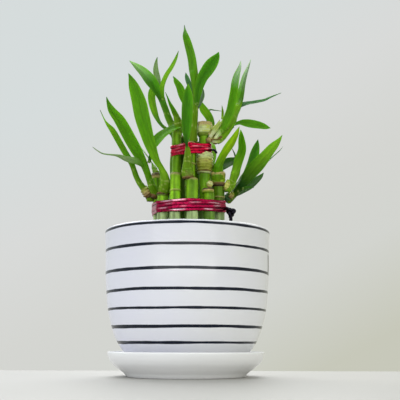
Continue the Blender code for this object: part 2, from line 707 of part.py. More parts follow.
def leaf(name, facing, points, opens, stem_radius, level=False):
    """One solid lofted from a round base, through a sheath, to a thin blade folded at its midrib."""
    facing = Vector(facing).normalized()
    line = smooth_line([mm(*point) for point in points], LEAF_SECTIONS)
    if level:
        line[0] = (line[0][0], Vector((0, 0, 1)))
    mesh = bpy.data.meshes.new(name)
    edit = bmesh.new()
    sections = []
    for index, (spot, way) in enumerate(line):
        t = index / (LEAF_SECTIONS - 1)
        half, thick, flat = section_size(t, opens, spot.w / 2, stem_radius)
        across = way.cross(facing).normalized()
        outward = across.cross(way).normalized()
        ring = []
        for corner in range(SECTION_POINTS):
            angle = math.tau * corner / SECTION_POINTS
            side = math.cos(angle) * half
            lift = math.sin(angle) * thick + abs(side) * LEAF_FOLD * flat
            ring.append(edit.verts.new(spot.to_3d() + across * side + outward * lift))
        sections.append(ring)
    for first, second in zip(sections, sections[1:]):
        for corner in range(SECTION_POINTS):
            after = (corner + 1) % SECTION_POINTS
            edit.faces.new((first[corner], first[after], second[after], second[corner]))
    edit.faces.new(sections[0][::-1])
    edit.faces.new(sections[-1])
    bmesh.ops.recalc_face_normals(edit, faces=edit.faces)
    edit.to_mesh(mesh)
    edit.free()
    return add(mesh, name, LEAF)


def shoots():
    for letter, (opens, facing, points) in SHOOTS.items():
        leaf(f"shoot_{letter}", facing, points, opens, math.inf, level=True)
    for label, (facing, points) in LEAVES.items():
        leaf(f"leaf_{label}", facing, points, LEAF_OPENS, LEAF_FOOT_RADIUS)


saucer()
pot()
outer_tier, inner_tier = stalks()
soil()
ties(outer_tier, inner_tier)
shoots()
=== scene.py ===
"""Looks of the potted lucky bamboo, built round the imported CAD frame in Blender 4.5.

Metres, +Z up, -Y the front. Tables are in millimetres, and MM turns them into metres. Each CAD node
is replaced by a finer piece in the same place.
"""

import math
import random
from types import SimpleNamespace

import bpy
import numpy as np
from mathutils import Euler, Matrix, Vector, noise


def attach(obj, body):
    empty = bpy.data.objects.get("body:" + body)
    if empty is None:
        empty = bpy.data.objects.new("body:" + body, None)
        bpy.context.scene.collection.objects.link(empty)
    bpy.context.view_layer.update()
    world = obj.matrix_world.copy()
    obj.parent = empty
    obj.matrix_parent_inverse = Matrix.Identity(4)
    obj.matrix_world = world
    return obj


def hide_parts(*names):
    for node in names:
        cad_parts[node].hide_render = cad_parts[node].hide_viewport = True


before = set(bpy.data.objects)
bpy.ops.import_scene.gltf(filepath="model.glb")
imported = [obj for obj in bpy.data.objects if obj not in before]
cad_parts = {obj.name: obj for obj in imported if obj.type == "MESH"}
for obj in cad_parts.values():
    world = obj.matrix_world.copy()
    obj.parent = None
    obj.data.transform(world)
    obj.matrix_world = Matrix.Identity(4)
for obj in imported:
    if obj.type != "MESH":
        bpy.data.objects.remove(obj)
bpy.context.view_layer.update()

MM = 0.001

# ---- design values shared with the CAD
POT_WALL = [
    (70.1, 118.5), (69.3, 103), (69.0, 85), (67.9, 69),
    (66.2, 54), (62.8, 40), (58.0, 28), (52.2, 20), (45.5, 12.5),
]
POT_FOOT_RADIUS = 40.5
POT_FOOT_WIDTH = 4.5
POT_BASE = 5.3
POT_FOOT_HEIGHT = 2.2
POT_TOP = 121.5
POT_THICKNESS = 4.4
POT_FLOOR = 11.8
DRAIN_RADIUS = 6
SAUCER_OFFSET = -0.7
SAUCER_OUTSIDE = [
    (64.6, 20.4), (65.3, 19.4), (64.8, 17), (63.5, 13.8),
    (61.2, 10.6), (57.1, 7.2), (51.8, 3.4), (48.5, 0),
]
SAUCER_INSIDE = [(0, 5), (46, 5), (52, 7), (58, 11.2), (61.6, 16), (63.2, 19.8)]
SOIL_TOP = 98
SOIL_CROWN = 2.5
STALK_FOOT = 62
OUTER_RING = 26.4
OUTER_CENTRE = (1.5, 0)
INNER_CENTRE = (3, 0)
LOWER_TIE_HEIGHT = 141.8
LOWER_TIE_TILT = (4.5, -2, 0)
UPPER_TIE_HEIGHT = 192.6
UPPER_TIE_TILT = (6, -3, 0)
# Bearing in degrees from the front towards the right, radius, top, ring heights, lean (x, y).
OUTER_STALKS = [
    (-90, 4.7, 151.0, (112,), (0, 0)),
    (-57, 4.9, 151.6, (116,), (0, 0)),
    (-26, 4.6, 167.0, (108, 152.5), (0, 0)),
    (7, 4.9, 162.4, (114,), (-0.8, 0)),
    (46, 4.8, 153.6, (110,), (-2.8, 0)),
    (78, 5.0, 161.0, (117, 150.5), (-0.8, 0)),
    (111, 4.8, 155.0, (113,), (0.6, 0.3)),
    (144, 5.0, 163.0, (109,), (0.4, 0.8)),
    (178, 4.9, 158.0, (115,), (0, 0.8)),
    (211, 4.7, 165.0, (111, 152.5), (-0.6, 0.8)),
    (241, 4.4, 175.0, (116, 154), (-6.5, 1.2)),
]
# Bearing, distance from the middle, radius, radius of the swollen top, its length, top, ring heights.
INNER_STALKS = [
    (-88, 13.0, 4.0, 4.1, 6, 211.0, (122, 148, 172.5)),
    (-4, 13.0, 4.4, 4.4, 5, 197.2, (128, 158, 178)),
    (58, 13.4, 4.9, 6.6, 11, 215.8, (120, 146, 171.5)),
    (118, 13.0, 4.7, 4.8, 6, 208.0, (131, 160, 182)),
    (168, 13.0, 4.6, 4.6, 6, 204.0, (126, 153, 177)),
    (218, 13.0, 4.5, 4.6, 6, 208.0, (119, 150, 175)),
]
# Shoots, each a stem that ends in a leaf: the share of the length that is stem, the way the leaf
# faces, and its middle line from the base to the tip, each point with the width there.
SHOOTS = {
    "a": (0.5, (0.3, -1, 0.3), [  # low on the left of outer stalk 1
        (-32.3, -1, 147.6, 5), (-33.6, -1.2, 151.5, 5.4), (-38, -1.8, 158, 5), (-44, -4, 167.5, 4.8),
        (-49, -7, 180.5, 5.2), (-56.5, -9.5, 192.5, 6), (-64.5, -12, 206.5, 5.6), (-69, -13.5, 212, 3.2),
        (-72, -14, 216.5, 1.3), (-76, -15.5, 225, 0.5),
    ]),
    "b": (0.3, (0.1, -1, 0.25), [  # top of outer stalk 1
        (-26.8, -2.6, 151.6, 6), (-30, -6.5, 158, 6.6), (-32.5, -9, 164, 6), (-35, -12, 171.5, 6.2),
        (-38.5, -15.5, 179.5, 7.4), (-43, -19, 187, 9.6), (-49.5, -22, 198, 10.3), (-57.5, -25.5, 212, 9.8),
        (-64, -27, 220.5, 7), (-67.5, -28, 227.5, 3), (-69, -28.5, 232.5, 0.4),
    ]),
    "c": (0.24, (0.15, -1, 0.1), [  # top of outer stalk 2
        (-20.3, -15, 151.9, 8.4), (-19, -18, 158.5, 9.2), (-19.5, -20.5, 165, 8), (-22, -23, 171.5, 5.4),
        (-26, -26, 177.5, 6), (-30.5, -30, 188, 9), (-33.5, -33, 196.5, 10.6), (-37.5, -37, 211, 12.8),
        (-40.5, -39.5, 224.5, 12.2), (-45, -41, 237.5, 8.6), (-48, -42, 245.5, 3), (-49.5, -42, 248.5, 0.4),
    ]),
    "d": (0.38, (0.1, -1, 0.2), [  # top of inner stalk 6, arching over to the left
        (-7.6, 9.4, 208.4, 5), (-12.5, 8.5, 215, 6), (-17, 8.5, 223.5, 6.2), (-21, 9, 234.5, 6.2),
        (-24.5, 10, 243.5, 6.6), (-29, 11, 252, 9), (-34, 12, 260, 11), (-40, 13.5, 268, 9.4),
        (-47, 14.5, 275, 6.4), (-54.5, 15, 281.5, 0.4),
    ]),
    "e": (0.5, (0.1, -1, 0.1), [  # top of outer stalk 10
        (-12.9, 23.2, 165.5, 5.2), (-14, 20.5, 185, 5), (-13, 17, 207.5, 4.4), (-18, 16.5, 215.5, 3.8),
        (-24, 18, 221, 3.4), (-28.5, 20.5, 228, 4.4), (-31.5, 22.5, 236, 6), (-34, 25, 246, 6.8),
        (-34.5, 27.5, 255.5, 6.2), (-34, 30, 265, 0.5),
    ]),
    "f": (0.5, (0, -1, 0.1), [  # top of outer stalk 4, in front of the upper tie
        (0.6, -26.6, 162.8, 8.6), (-0.4, -27, 167.5, 8.8), (-0.2, -28, 172, 7.4), (0.3, -28.5, 178, 7.2),
        (0.2, -29.5, 183.5, 5.6), (0, -30, 187, 4.4), (-0.6, -31, 190, 2.6), (-0.8, -32, 194.5, 4.4),
        (-0.8, -33.5, 201.5, 7.2), (-0.5, -35.5, 211.5, 9), (-0.1, -38, 223, 9.2), (0.2, -39, 232, 7.4),
        (0.4, -40, 240.5, 0.4),
    ]),
    "g": (0.52, (-0.3, -1, 0), [  # top of inner stalk 2, the tallest
        (3.9, -12.7, 197.6, 5.4), (5, -12.5, 207, 5.2), (6, -12.5, 219.5, 4.8), (6.5, -11.5, 233.5, 4.6),
        (6, -10.5, 245.5, 5.6), (5.5, -9.5, 254, 7), (4.5, -8, 263.5, 8.1), (2.9, -6.5, 276.5, 7.7),
        (-0.5, -4, 290.5, 6.9), (-2.8, -3, 298.5, 5.5), (-3.5, -2, 304.5, 2), (-4, -1, 309.5, 0.4),
    ]),
    "h": (0.3, (-0.3, -1, 0.2), [  # top of inner stalk 4
        (16, 6.6, 208.4, 4.8), (20.5, 7.5, 215, 5), (20.5, 8.5, 221.5, 6.2), (17.5, 9.5, 228, 7.2),
        (13.5, 10.5, 234, 7), (11, 11, 239.5, 4), (9.5, 11, 243.5, 0.4),
    ]),
    "i": (0.45, (-0.3, -1, 0.15), [  # right of inner stalk 3
        (23.2, -8, 199.2, 7), (27, -8.5, 203, 9.6), (31.5, -8, 210, 11.4), (36, -7.5, 218, 12),
        (39.5, -5.5, 226.5, 10.4), (44, -2.8, 235, 8.4), (46.5, 0, 244.5, 6.8), (48.5, 3, 254.5, 5.6),
        (51, 6, 264.5, 4.2), (54, 9, 273.5, 2.4), (56.5, 11, 281.5, 0.4),
    ]),
    "j": (0.36, (-0.3, -1, 0.3), [  # thick base on top of outer stalk 6
        (26.4, -5.7, 161.4, 10), (26, -7, 167, 11), (26, -8.5, 172.5, 9.6), (27, -12, 178, 8),
        (30, -15.5, 184, 8), (33.5, -19, 189, 8.2), (37.5, -23.5, 194.5, 7.6), (41, -28, 200, 5.2),
        (43.5, -31, 206, 0.4),
    ]),
    "k": (0.34, (-0.6, -1, 0.1), [  # right of outer stalk 6
        (33.6, -7, 155, 4.6), (37.5, -7.5, 159.5, 5.6), (39, -9, 165, 6.8), (41.5, -11.5, 172.5, 8.8),
        (44, -14.5, 180.5, 9.2), (46.5, -17.5, 189, 8), (46, -20, 197, 6.6), (45.5, -21, 202, 3.8),
        (45, -21.5, 206, 0.4),
    ]),
    "l": (0.3, (-0.35, -1, 0.35), [  # right of outer stalk 7
        (34.2, 8.2, 149, 5.4), (37.5, 6.5, 152.5, 6), (41.5, 4.5, 156.5, 6.6), (47, 1.4, 162.5, 8.6),
        (53, -1.5, 170, 12), (60.5, -5.5, 178.5, 13.6), (66.5, -9, 185, 12.2), (71, -11.5, 190, 10.4),
        (75, -13.5, 194.5, 7.8), (78.5, -15, 199, 3.6), (81, -15.5, 203, 0.4),
    ]),
    "m": (0.3, (0, -1, 1), [  # top of outer stalk 9, at the back
        (2.6, 27.8, 158.4, 5.6), (2.2, 31, 166, 5.6), (0.5, 37, 178, 5.4), (-1.5, 45, 190, 9.6),
        (-4, 55, 199, 9.4), (-6, 64, 203, 0.4),
    ]),
    "n": (0.3, (0, -1, 0.6), [  # top of outer stalk 8, at the back
        (17.6, 22.6, 163.4, 5.6), (18.4, 25, 172, 5.6), (19.6, 29, 184, 6.4), (20.5, 34, 196, 10),
        (20.5, 40, 207, 8.6), (19.5, 47, 214, 0.4),
    ]),
    "o": (0.26, (0.6, 0.3, 1), [  # top of outer stalk 11, leaning back and left
        (-28.4, 14.8, 175.4, 5.2), (-30, 17.4, 180, 5), (-33.5, 24, 188, 6), (-39, 33, 197, 9.4),
        (-45, 43, 207, 8.4), (-50, 52, 214, 0.4),
    ]),
    "p": (0.3, (0, -1, 0.8), [  # top of inner stalk 5, at the back
        (5.6, 13, 204.4, 5.2), (5.6, 15, 212, 5), (4.6, 19, 222, 6.4), (3.2, 25, 233, 9.8),
        (1.6, 33, 243, 8.2), (0, 42, 249, 0.4),
    ]),
    "q": (0.3, (0.3, -1, 0.1), [  # top of inner stalk 1
        (-8.8, 0.9, 211.3, 7.4), (-9, -0.6, 218.5, 7.4), (-10.5, -2.6, 223, 6), (-13, -4.5, 228, 4.6),
        (-16, -6.5, 233.5, 3), (-18, -8.5, 238.5, 1.5), (-20, -10, 243, 0.4),
    ]),
}
# Leaves on the side of the shoot that their letter names: the way they face, and the middle line.
LEAVES = {
    "b1": ((0.2, -1, 0.35), [
        (-36.5, -13.5, 174.5, 3), (-40.5, -18.5, 177, 6), (-44.5, -20.5, 178.5, 7), (-49, -21, 179.5, 6.4),
        (-53, -21.5, 180.5, 5), (-57, -22, 182, 3.6), (-61.5, -22.5, 183, 2), (-71, -23.5, 184, 1.3),
        (-76, -24.5, 186.5, 1), (-80, -25, 189.5, 0.4),
    ]),
    "d1": ((0.2, -1, 0), [
        (-24.5, 13.5, 245.5, 3), (-27, 16, 255.5, 4.6), (-29, 19, 266, 5.8), (-30.5, 21, 274.5, 5.2),
        (-30.5, 22.5, 282, 3), (-29.5, 23.5, 288.5, 0.4),
    ]),
    "d2": ((-0.3, -1, 0.2), [
        (-23, 8, 243, 3), (-23.5, 4.5, 251.5, 4.4), (-22, 3, 258, 4.6), (-19, 1, 264, 4.6),
        (-15, 0, 270, 4.4), (-11.5, -1, 277, 3), (-9, -2, 284.5, 0.4),
    ]),
    "g1": ((0.3, -1, 0.2), [
        (7.5, -14, 231, 4), (8, -15.5, 238.5, 6.4), (9.5, -16.5, 246, 8), (12.5, -17.5, 254, 9.4),
        (16, -18, 259.5, 10.8), (19.5, -19, 264.5, 10.8), (22.5, -20, 268.5, 8.8), (25, -20.5, 272.5, 5),
        (26.5, -21, 276, 0.4),
    ]),
    "g2": ((0, -1, 0.3), [
        (7.5, -9.5, 228, 3), (10, -6, 235, 4.6), (12, -3, 241.5, 4.6), (12.5, -1, 247, 3),
        (12.5, 1, 251, 0.4),
    ]),
    "g3": ((0.2, -1, 0.1), [
        (4.5, -9.5, 238, 3), (2.2, -6, 247.5, 4.4), (-0.5, -3, 256, 4.4), (-1.8, -1, 261, 3),
        (-2.5, -0.5, 264.5, 0.4),
    ]),
    "g4": ((0.2, -1, 0.3), [
        (3.5, -13, 220, 3.6), (-0.5, -15, 228, 5.4), (-4.5, -17.5, 236, 6.8), (-7, -20, 243, 7.2),
        (-10, -22, 248, 5.4), (-11.5, -22.5, 251, 2.6), (-13, -23, 253, 0.4),
    ]),
    "h1": ((0, -1, 0.3), [
        (17, 8.9, 222, 2), (17, 13, 231, 2), (19.5, 17, 235.5, 1.8), (24, 20, 236, 1.3),
        (30, 24, 236.5, 0.5),
    ]),
    "i1": ((-0.3, -1, 0), [
        (29.5, -15.5, 206, 3), (31.5, -17, 210, 6), (34, -18, 216.5, 7.4), (36.5, -19.5, 223.5, 7.4),
        (38, -22, 231, 7.4), (39.5, -25, 239, 7.2), (40.5, -28, 246, 6.8), (42, -29.5, 252.5, 5.4),
        (44, -30.5, 258.5, 3), (45, -31, 264, 0.4),
    ]),
    "i2": ((0.1, -1, 0.6), [
        (43.4, -0.6, 232.4, 4), (47.5, 0, 235, 5.4), (52, 0.6, 236.5, 4.8), (57, 1.5, 237.5, 4),
        (63, 2.4, 239, 3.4), (68, 3, 240.5, 2.8), (74, 3.5, 243.5, 2), (83, 4, 247.5, 0.5),
    ]),
    "i3": ((0, -1, 0.1), [
        (34.1, -3.8, 214.4, 3), (39.5, 0, 216.5, 3), (44.5, 3, 219, 3.6), (49, 6, 220, 6.4),
        (55.5, 10, 220.5, 8.2), (62.5, 14, 220.5, 7.6), (69.5, 18, 220, 5), (74.5, 22, 220, 0.5),
    ]),
    "j1": ((0, -1, 0.1), [
        (26, -2.6, 169.9, 4), (25.5, 1, 177.5, 8), (30, 5, 181, 9.4), (35, 10, 184.5, 8.8),
        (40.5, 15, 188, 6.6), (46, 20, 192.5, 0.5),
    ]),
    "k1": ((-0.8, -0.6, 0), [
        (42.3, -8.4, 174.9, 2.4), (42, -2, 183, 2.2), (41, 1.2, 190, 1.8), (38.5, 4, 196.5, 0.4),
    ]),
    "l1": ((-0.3, -1, 0.2), [
        (44.5, 4, 163.1, 4), (51.5, 9.5, 174, 6.4), (56.5, 13, 184, 8.6), (59.5, 16.5, 194, 8.8),
        (61.5, 19, 202, 5.6), (63, 21, 209, 0.4),
    ]),
    "l2": ((-0.75, -0.6, 0.3), [
        (54.9, -1.2, 171.7, 2.6), (61.5, 0.4, 177, 3), (69.5, 2.6, 183.5, 2.4), (75.5, 4.5, 189.5, 1.8),
        (81, 6.5, 195, 1.4), (84, 8, 199, 0.4),
    ]),
    "l3": ((-0.2, -1, 0.1), [
        (40.6, 7.8, 154.3, 3), (46.5, 11.5, 158.5, 5.6), (53, 17, 164, 7.8), (59.5, 22.5, 170.5, 7.2),
        (65, 27, 175.5, 4.4), (68.5, 30, 180, 0.5),
    ]),
    "l4": ((-0.5, -1, 0.2), [
        (36.3, 9.9, 152.2, 4), (41, 14, 161, 5.6), (46.5, 18, 168, 6.8), (49.5, 21.5, 174.5, 5.4),
        (52, 24.5, 182, 0.4),
    ]),
    "m1": ((0.6, 0.2, 1), [
        (4.5, 32.7, 163, 4), (9, 39, 169, 7.4), (14, 47, 174, 8.8), (20, 56, 174, 6.4), (24, 63, 170, 0.4),
    ]),
    "n1": ((-0.4, 0.3, 1), [
        (20.4, 27.8, 172, 4), (24, 36, 179, 7.6), (26, 46, 186, 9.4), (24, 56, 192, 7), (20, 65, 195, 0.4),
    ]),
    "q1": ((-0.2, -1, 0.4), [
        (-9.2, -2.3, 212.3, 5), (-10.5, -6, 212.5, 7.4), (-16.5, -10, 208.5, 7.8), (-22, -14, 203.5, 8.8),
        (-26.5, -17.5, 197, 9.6), (-30, -20, 190.5, 7), (-32.5, -22, 185, 0.4),
    ]),
}

# ---- looks
HOOP_INK = (0.002, 0.005, 0.015)
# Painted hoops of the pot: height, thickness, how much thicker the right side is than the left.
HOOPS = [
    (118.9, 2.15, -0.05), (102.7, 2.20, -0.25), (84.3, 2.45, -0.10), (68.5, 2.25, -0.10),
    (54.1, 2.00, -0.10), (40.0, 2.40, -0.45), (27.9, 2.15, -0.40),
]
# Heights between which the brush slipped, and how far that is in front of the pot's right side, as a
# share of its radius.
SLIP_HEIGHTS = (85, 100)
SLIP_FORWARD = 0.20
# Colours of the glaze, linear, on the left and on the right; the bluer left is painted light.
POT_WHITE = ((0.83, 0.835, 0.935), (0.86, 0.865, 0.885))
SAUCER_WHITE = ((0.93, 0.93, 0.95), (0.91, 0.91, 0.91))
# Kept as the tint of glazed pieces, whose material takes its colour from their place alone.
GLAZE_TINT = (0.8, 0.81, 0.84)
SOIL_DARK = (0.018, 0.011, 0.007)
SOIL_PALE = (0.055, 0.035, 0.020)
CRUMB = (0.045, 0.028, 0.017)
BARK = (0.13, 0.075, 0.035)
# The lumps of the soil's top in millimetres, broad and fine: length, height. Then how many crumbs lie
# on it, the share of them that are bark, and the sizes and flatness of bark and of crumbs.
BROAD_LUMPS = (7, 1.3)
FINE_LUMPS = (2.4, 0.7)
SOIL_ROWS = 52
CRUMBS = 900
BARK_SHARE = 0.18
BARK_SIZES = (0.9, 1.9)
BARK_SQUASH = (1.5, 0.8, 0.35)
CRUMB_SIZES = (0.35, 1.1)
CRUMB_SQUASH = (1, 0.85, 0.7)

# Greens of the leaves as (middle, edge), linear.
GREENS = {
    "fresh": ((0.080, 0.265, 0.002), (0.110, 0.285, 0.005)),
    "deep": ((0.042, 0.185, 0.001), (0.080, 0.245, 0.005)),
    "lime": ((0.190, 0.410, 0.010), (0.140, 0.340, 0.008)),
    "pale": ((0.340, 0.560, 0.210), (0.190, 0.390, 0.080)),
    "blue": ((0.070, 0.195, 0.060), (0.050, 0.145, 0.040)),
    "dark": ((0.036, 0.130, 0.004), (0.028, 0.095, 0.004)),
    "dry": ((0.180, 0.190, 0.080), (0.120, 0.130, 0.060)),
    "olive": ((0.130, 0.240, 0.002), (0.110, 0.205, 0.004)),
    "sheath": ((0.115, 0.235, 0.004), (0.150, 0.290, 0.012)),
    "straw": ((0.400, 0.500, 0.110), (0.280, 0.380, 0.060)),
    # Near-black green for the parts of leaves that lie in shade: painted shade.
    "night": ((0.004, 0.052, 0.001), (0.008, 0.062, 0.001)),
    "gold": ((0.270, 0.480, 0.004), (0.190, 0.380, 0.004)),
    "mist": ((0.500, 0.620, 0.460), (0.360, 0.500, 0.300)),
    "grey": ((0.140, 0.210, 0.120), (0.100, 0.160, 0.080)),
    "drab": ((0.210, 0.310, 0.120), (0.140, 0.220, 0.070)),
    "bark": ((0.220, 0.150, 0.050), (0.110, 0.065, 0.020)),
    "cream": ((0.620, 0.660, 0.400), (0.450, 0.500, 0.220)),
}
SHEATH_EDGE = (0.48, 0.52, 0.16)
UNDERSIDE = (0.14, 0.30, 0.07)


def greens(names, sides=(1, 1), fold=0.22, holds=0, middle_at=0.4, tip_share=0.16):
    """A leaf's look: its greens at the stem, the base, the middle and the tip, and how they lie.

    sides is how light its left and right halves are, which is painted light and shade, and fold how deep
    its crease is. holds is the share of the stem that keeps the first green, middle_at the share of the
    blade where the third is reached, and tip_share how much of the blade turns to the last.
    """
    shares = {"holds": holds, "middle_at": middle_at, "tip_share": tip_share}
    return SimpleNamespace(names=names.split(), sides=sides, fold=fold, **shares)


LEAF_LOOKS = {
    "a": greens("sheath fresh lime dry"),
    "b": greens("sheath fresh fresh dark", sides=(0.9, 1.1), tip_share=0.28),
    "c": greens("sheath lime fresh dark", sides=(1.1, 0.95), tip_share=0.28),
    "d": greens("sheath deep deep pale", fold=0.4, sides=(0.75, 1.3), tip_share=0.55),
    "e": greens("sheath deep lime lime", sides=(1.0, 0.8)),
    "f": greens("sheath night deep fresh", sides=(0.85, 1.25), fold=0.4, holds=0.85, middle_at=0.3),
    "g": greens("olive fresh fresh grey", sides=(0.8, 1.0), tip_share=0.4),
    "h": greens("sheath fresh lime fresh"),
    "i": greens("lime lime fresh mist", sides=(1.1, 0.6), fold=0.4, tip_share=0.7, middle_at=0.16),
    "j": greens("olive fresh gold gold", sides=(1.1, 0.8)),
    "k": greens("sheath lime fresh lime"),
    "l": greens("olive night lime lime", sides=(1.1, 0.9), middle_at=0.55),
    "m": greens("sheath fresh fresh fresh"),
    "n": greens("sheath fresh lime fresh"),
    "o": greens("sheath fresh fresh dark"),
    "p": greens("sheath lime fresh fresh"),
    "q": greens("sheath sheath fresh dark"),
    "b1": greens("fresh fresh drab dry", sides=(0.8, 1)),
    "d1": greens("olive olive drab dark"),
    "d2": greens("olive fresh lime dark"),
    "g1": greens("deep deep deep deep"),
    "g2": greens("grey grey grey blue", sides=(1.2, 1.0)),
    "g3": greens("blue blue blue dark"),
    "g4": greens("fresh fresh fresh dark"),
    "h1": greens("blue blue dark dark"),
    "i1": greens("lime fresh fresh mist", sides=(0.9, 1.1), tip_share=0.42),
    "i2": greens("deep blue blue blue"),
    "i3": greens("lime fresh fresh fresh"),
    "j1": greens("dark dark dark dark", sides=(0.7, 0.8)),
    "k1": greens("dark dark dark dark"),
    "l1": greens("lime lime deep dark", sides=(0.8, 1.2), middle_at=0.5),
    "l2": greens("fresh fresh dark dark"),
    "l3": greens("dark dark dark dark", sides=(0.9, 0.8)),
    "l4": greens("grey grey grey dark"),
    "m1": greens("fresh fresh fresh dark"),
    "n1": greens("fresh fresh deep fresh"),
    "q1": greens("fresh fresh fresh fresh", sides=(1.15, 0.8)),
}
# Small bracts and sheath scales beside the leaves, which the CAD leaves out: greens, the way they
# face, and the middle line with the width at each point. The last six are round shoot i's foot.
BRACTS = [
    ("lime lime olive dark", (0, -1, 0), [(29.6, -12.5, 218, 2), (30, -13, 224, 2), (29.4, -13.2, 230, 0.4)]),
    ("lime fresh dark dark", (0, -1, 0.3), [(35.5, -11, 208, 3), (38, -11.5, 210.5, 3), (40, -12, 211, 0.6)]),
    ("dark dark dark dark", (0, -1, 0), [
        (-33, -16, 178, 2.5), (-31.5, -16.5, 184, 3.2), (-29.5, -17, 191, 0.4),
    ]),
    ("dark dark dark dark", (0, -1, 0.3), [(47, -3, 158.5, 2.5), (51, -4, 159.5, 2.5), (57, -5, 159, 0.4)]),
    ("cream cream straw pale", (-0.2, -1, 0.2), [
        (19, -13, 201.5, 3), (23, -14, 207, 4.2), (27, -13.5, 212.5, 3), (30.5, -12.5, 217.5, 0.4),
    ]),
    ("straw cream lime lime", (-0.2, -1, 0.2), [
        (23, -14, 199.5, 3), (27.5, -15, 205.5, 4.4), (32, -15, 210.5, 3.2), (36, -14, 216, 0.4),
    ]),
    ("fresh lime lime fresh", (-0.2, -1, 0.2), [
        (27, -12.5, 198.5, 3), (32.5, -13.5, 204, 4.4), (36.5, -13, 208.5, 3), (41, -12, 215, 0.4),
    ]),
    ("bark bark bark straw", (0, -1, 0.4), [
        (18, -12, 199.5, 2), (23, -14.5, 200, 3.4), (27, -14, 200.5, 2.6), (30.5, -13, 203.5, 0.4),
    ]),
    ("bark straw straw bark", (-0.3, -1, 0.2), [
        (20, -12.5, 204.5, 2.4), (23, -13.5, 209, 3.6), (26, -13, 213.5, 2.6), (27.5, -12, 217.5, 0.4),
    ]),
    ("bark cream straw bark", (0, -1, 0), [
        (21, -12.5, 198, 2), (24.5, -14, 197.5, 2.8), (28.5, -13, 198.5, 2.4), (31.5, -12, 201, 0.4),
    ]),
]

# Colours of the stalks, linear.
CANE_GREEN = (0.210, 0.430, 0.012)
CANE_PALE = (0.430, 0.580, 0.250)
CANE_DEEP = (0.110, 0.260, 0.008)
CANE_YELLOW = (0.560, 0.620, 0.130)
SCAR = (0.420, 0.340, 0.130)
BROWN = (0.150, 0.085, 0.030)
TAN = (0.460, 0.370, 0.160)
# How pale each stalk is under the lower tie, from 0 (deep green) to 1, and how light it is above it,
# as painted light and shade: darker for stalks in shade, lighter for lit ones.
OUTER_PALENESS = [1.0, 1.0, 1.0, 0.95, 0.1, 0.8, 0.6, 0.8, 0.5, 0.7, 0.6]
OUTER_PAINTED_SHADING = [1.0, 1.0, 1.35, 0.85, 0.8, 0.42, 0.7, 1.0, 1.0, 1.0, 1.2]
INNER_PALENESS = 0.3
INNER_PAINTED_SHADING = [1.5, 1.0, 1.2, 0.9, 0.8, 0.45]
# A stalk is pale up to the first height, and gets darker between the second and the third as painted
# shade from the leaves above.
PALE_TOP = 146
SHADE_FROM = 150
SHADE_TO = 178
# Rows of a stalk's cut end: distance in from the wall, depth below the top.
CUT_ROWS = [(0.12, 0.5), (0.35, 0.15), (0.8, 0.0), (1.3, 0.25), (2.2, 0.5), (3.4, 0.6), (4.3, 0.5)]
CUT_BROWN = 0.5
# How strong a stalk's light and dark streaks are, partly natural streaking and partly painted highlight,
# and how far down its cut end has dried, in millimetres.
STREAKS = 0.75
DRY_TOP = 2.5
# How far a stalk's wall is from round, and how lumpy a knobbly head is, in millimetres.
UNEVEN = 0.22
KNOBS = 0.5
# Each ring of a stalk slants, stands out and has a hollow under it, in millimetres.
RING_SLANT = 0.35
RING_STANDS, RING_WIDTH = 0.42, 0.75
HOLLOW_DEPTH, HOLLOW_BELOW, HOLLOW_WIDTH = 0.16, 1.7, 0.8
# The scar on each ring and the shadow under it: strength, then millimetres.
SCAR_STRENGTH, SCAR_WIDTH = 0.85, 0.42
SHADOW_STRENGTH, SHADOW_BELOW, SHADOW_WIDTH = 0.45, 1.1, 0.5

# Colours of the dry sheaths and buds, linear.
HUSK_COLOURS = {
    "brown": (0.190, 0.110, 0.035),
    "dark": (0.060, 0.040, 0.016),
    "tan": (0.480, 0.370, 0.150),
    "straw": (0.560, 0.580, 0.130),
    "pale": (0.600, 0.680, 0.300),
    "green": (0.250, 0.460, 0.020),
    "deep": (0.120, 0.260, 0.008),
    "teal": (0.050, 0.130, 0.045),
    "grey": (0.260, 0.240, 0.140),
    "olive": (0.190, 0.270, 0.030),
    "moss": (0.300, 0.330, 0.040),
}
# Rows of a husk's skin from one stop to the next.
HUSK_ROWS = 9
# A husk's broad folds, fine folds and pleats, and how ragged its upper edge is, as shares of how deep
# its wrinkles are.
BROAD_FOLDS, FINE_FOLDS, PLEATS, RAGGED = 0.8, 0.5, 0.35, 1.6
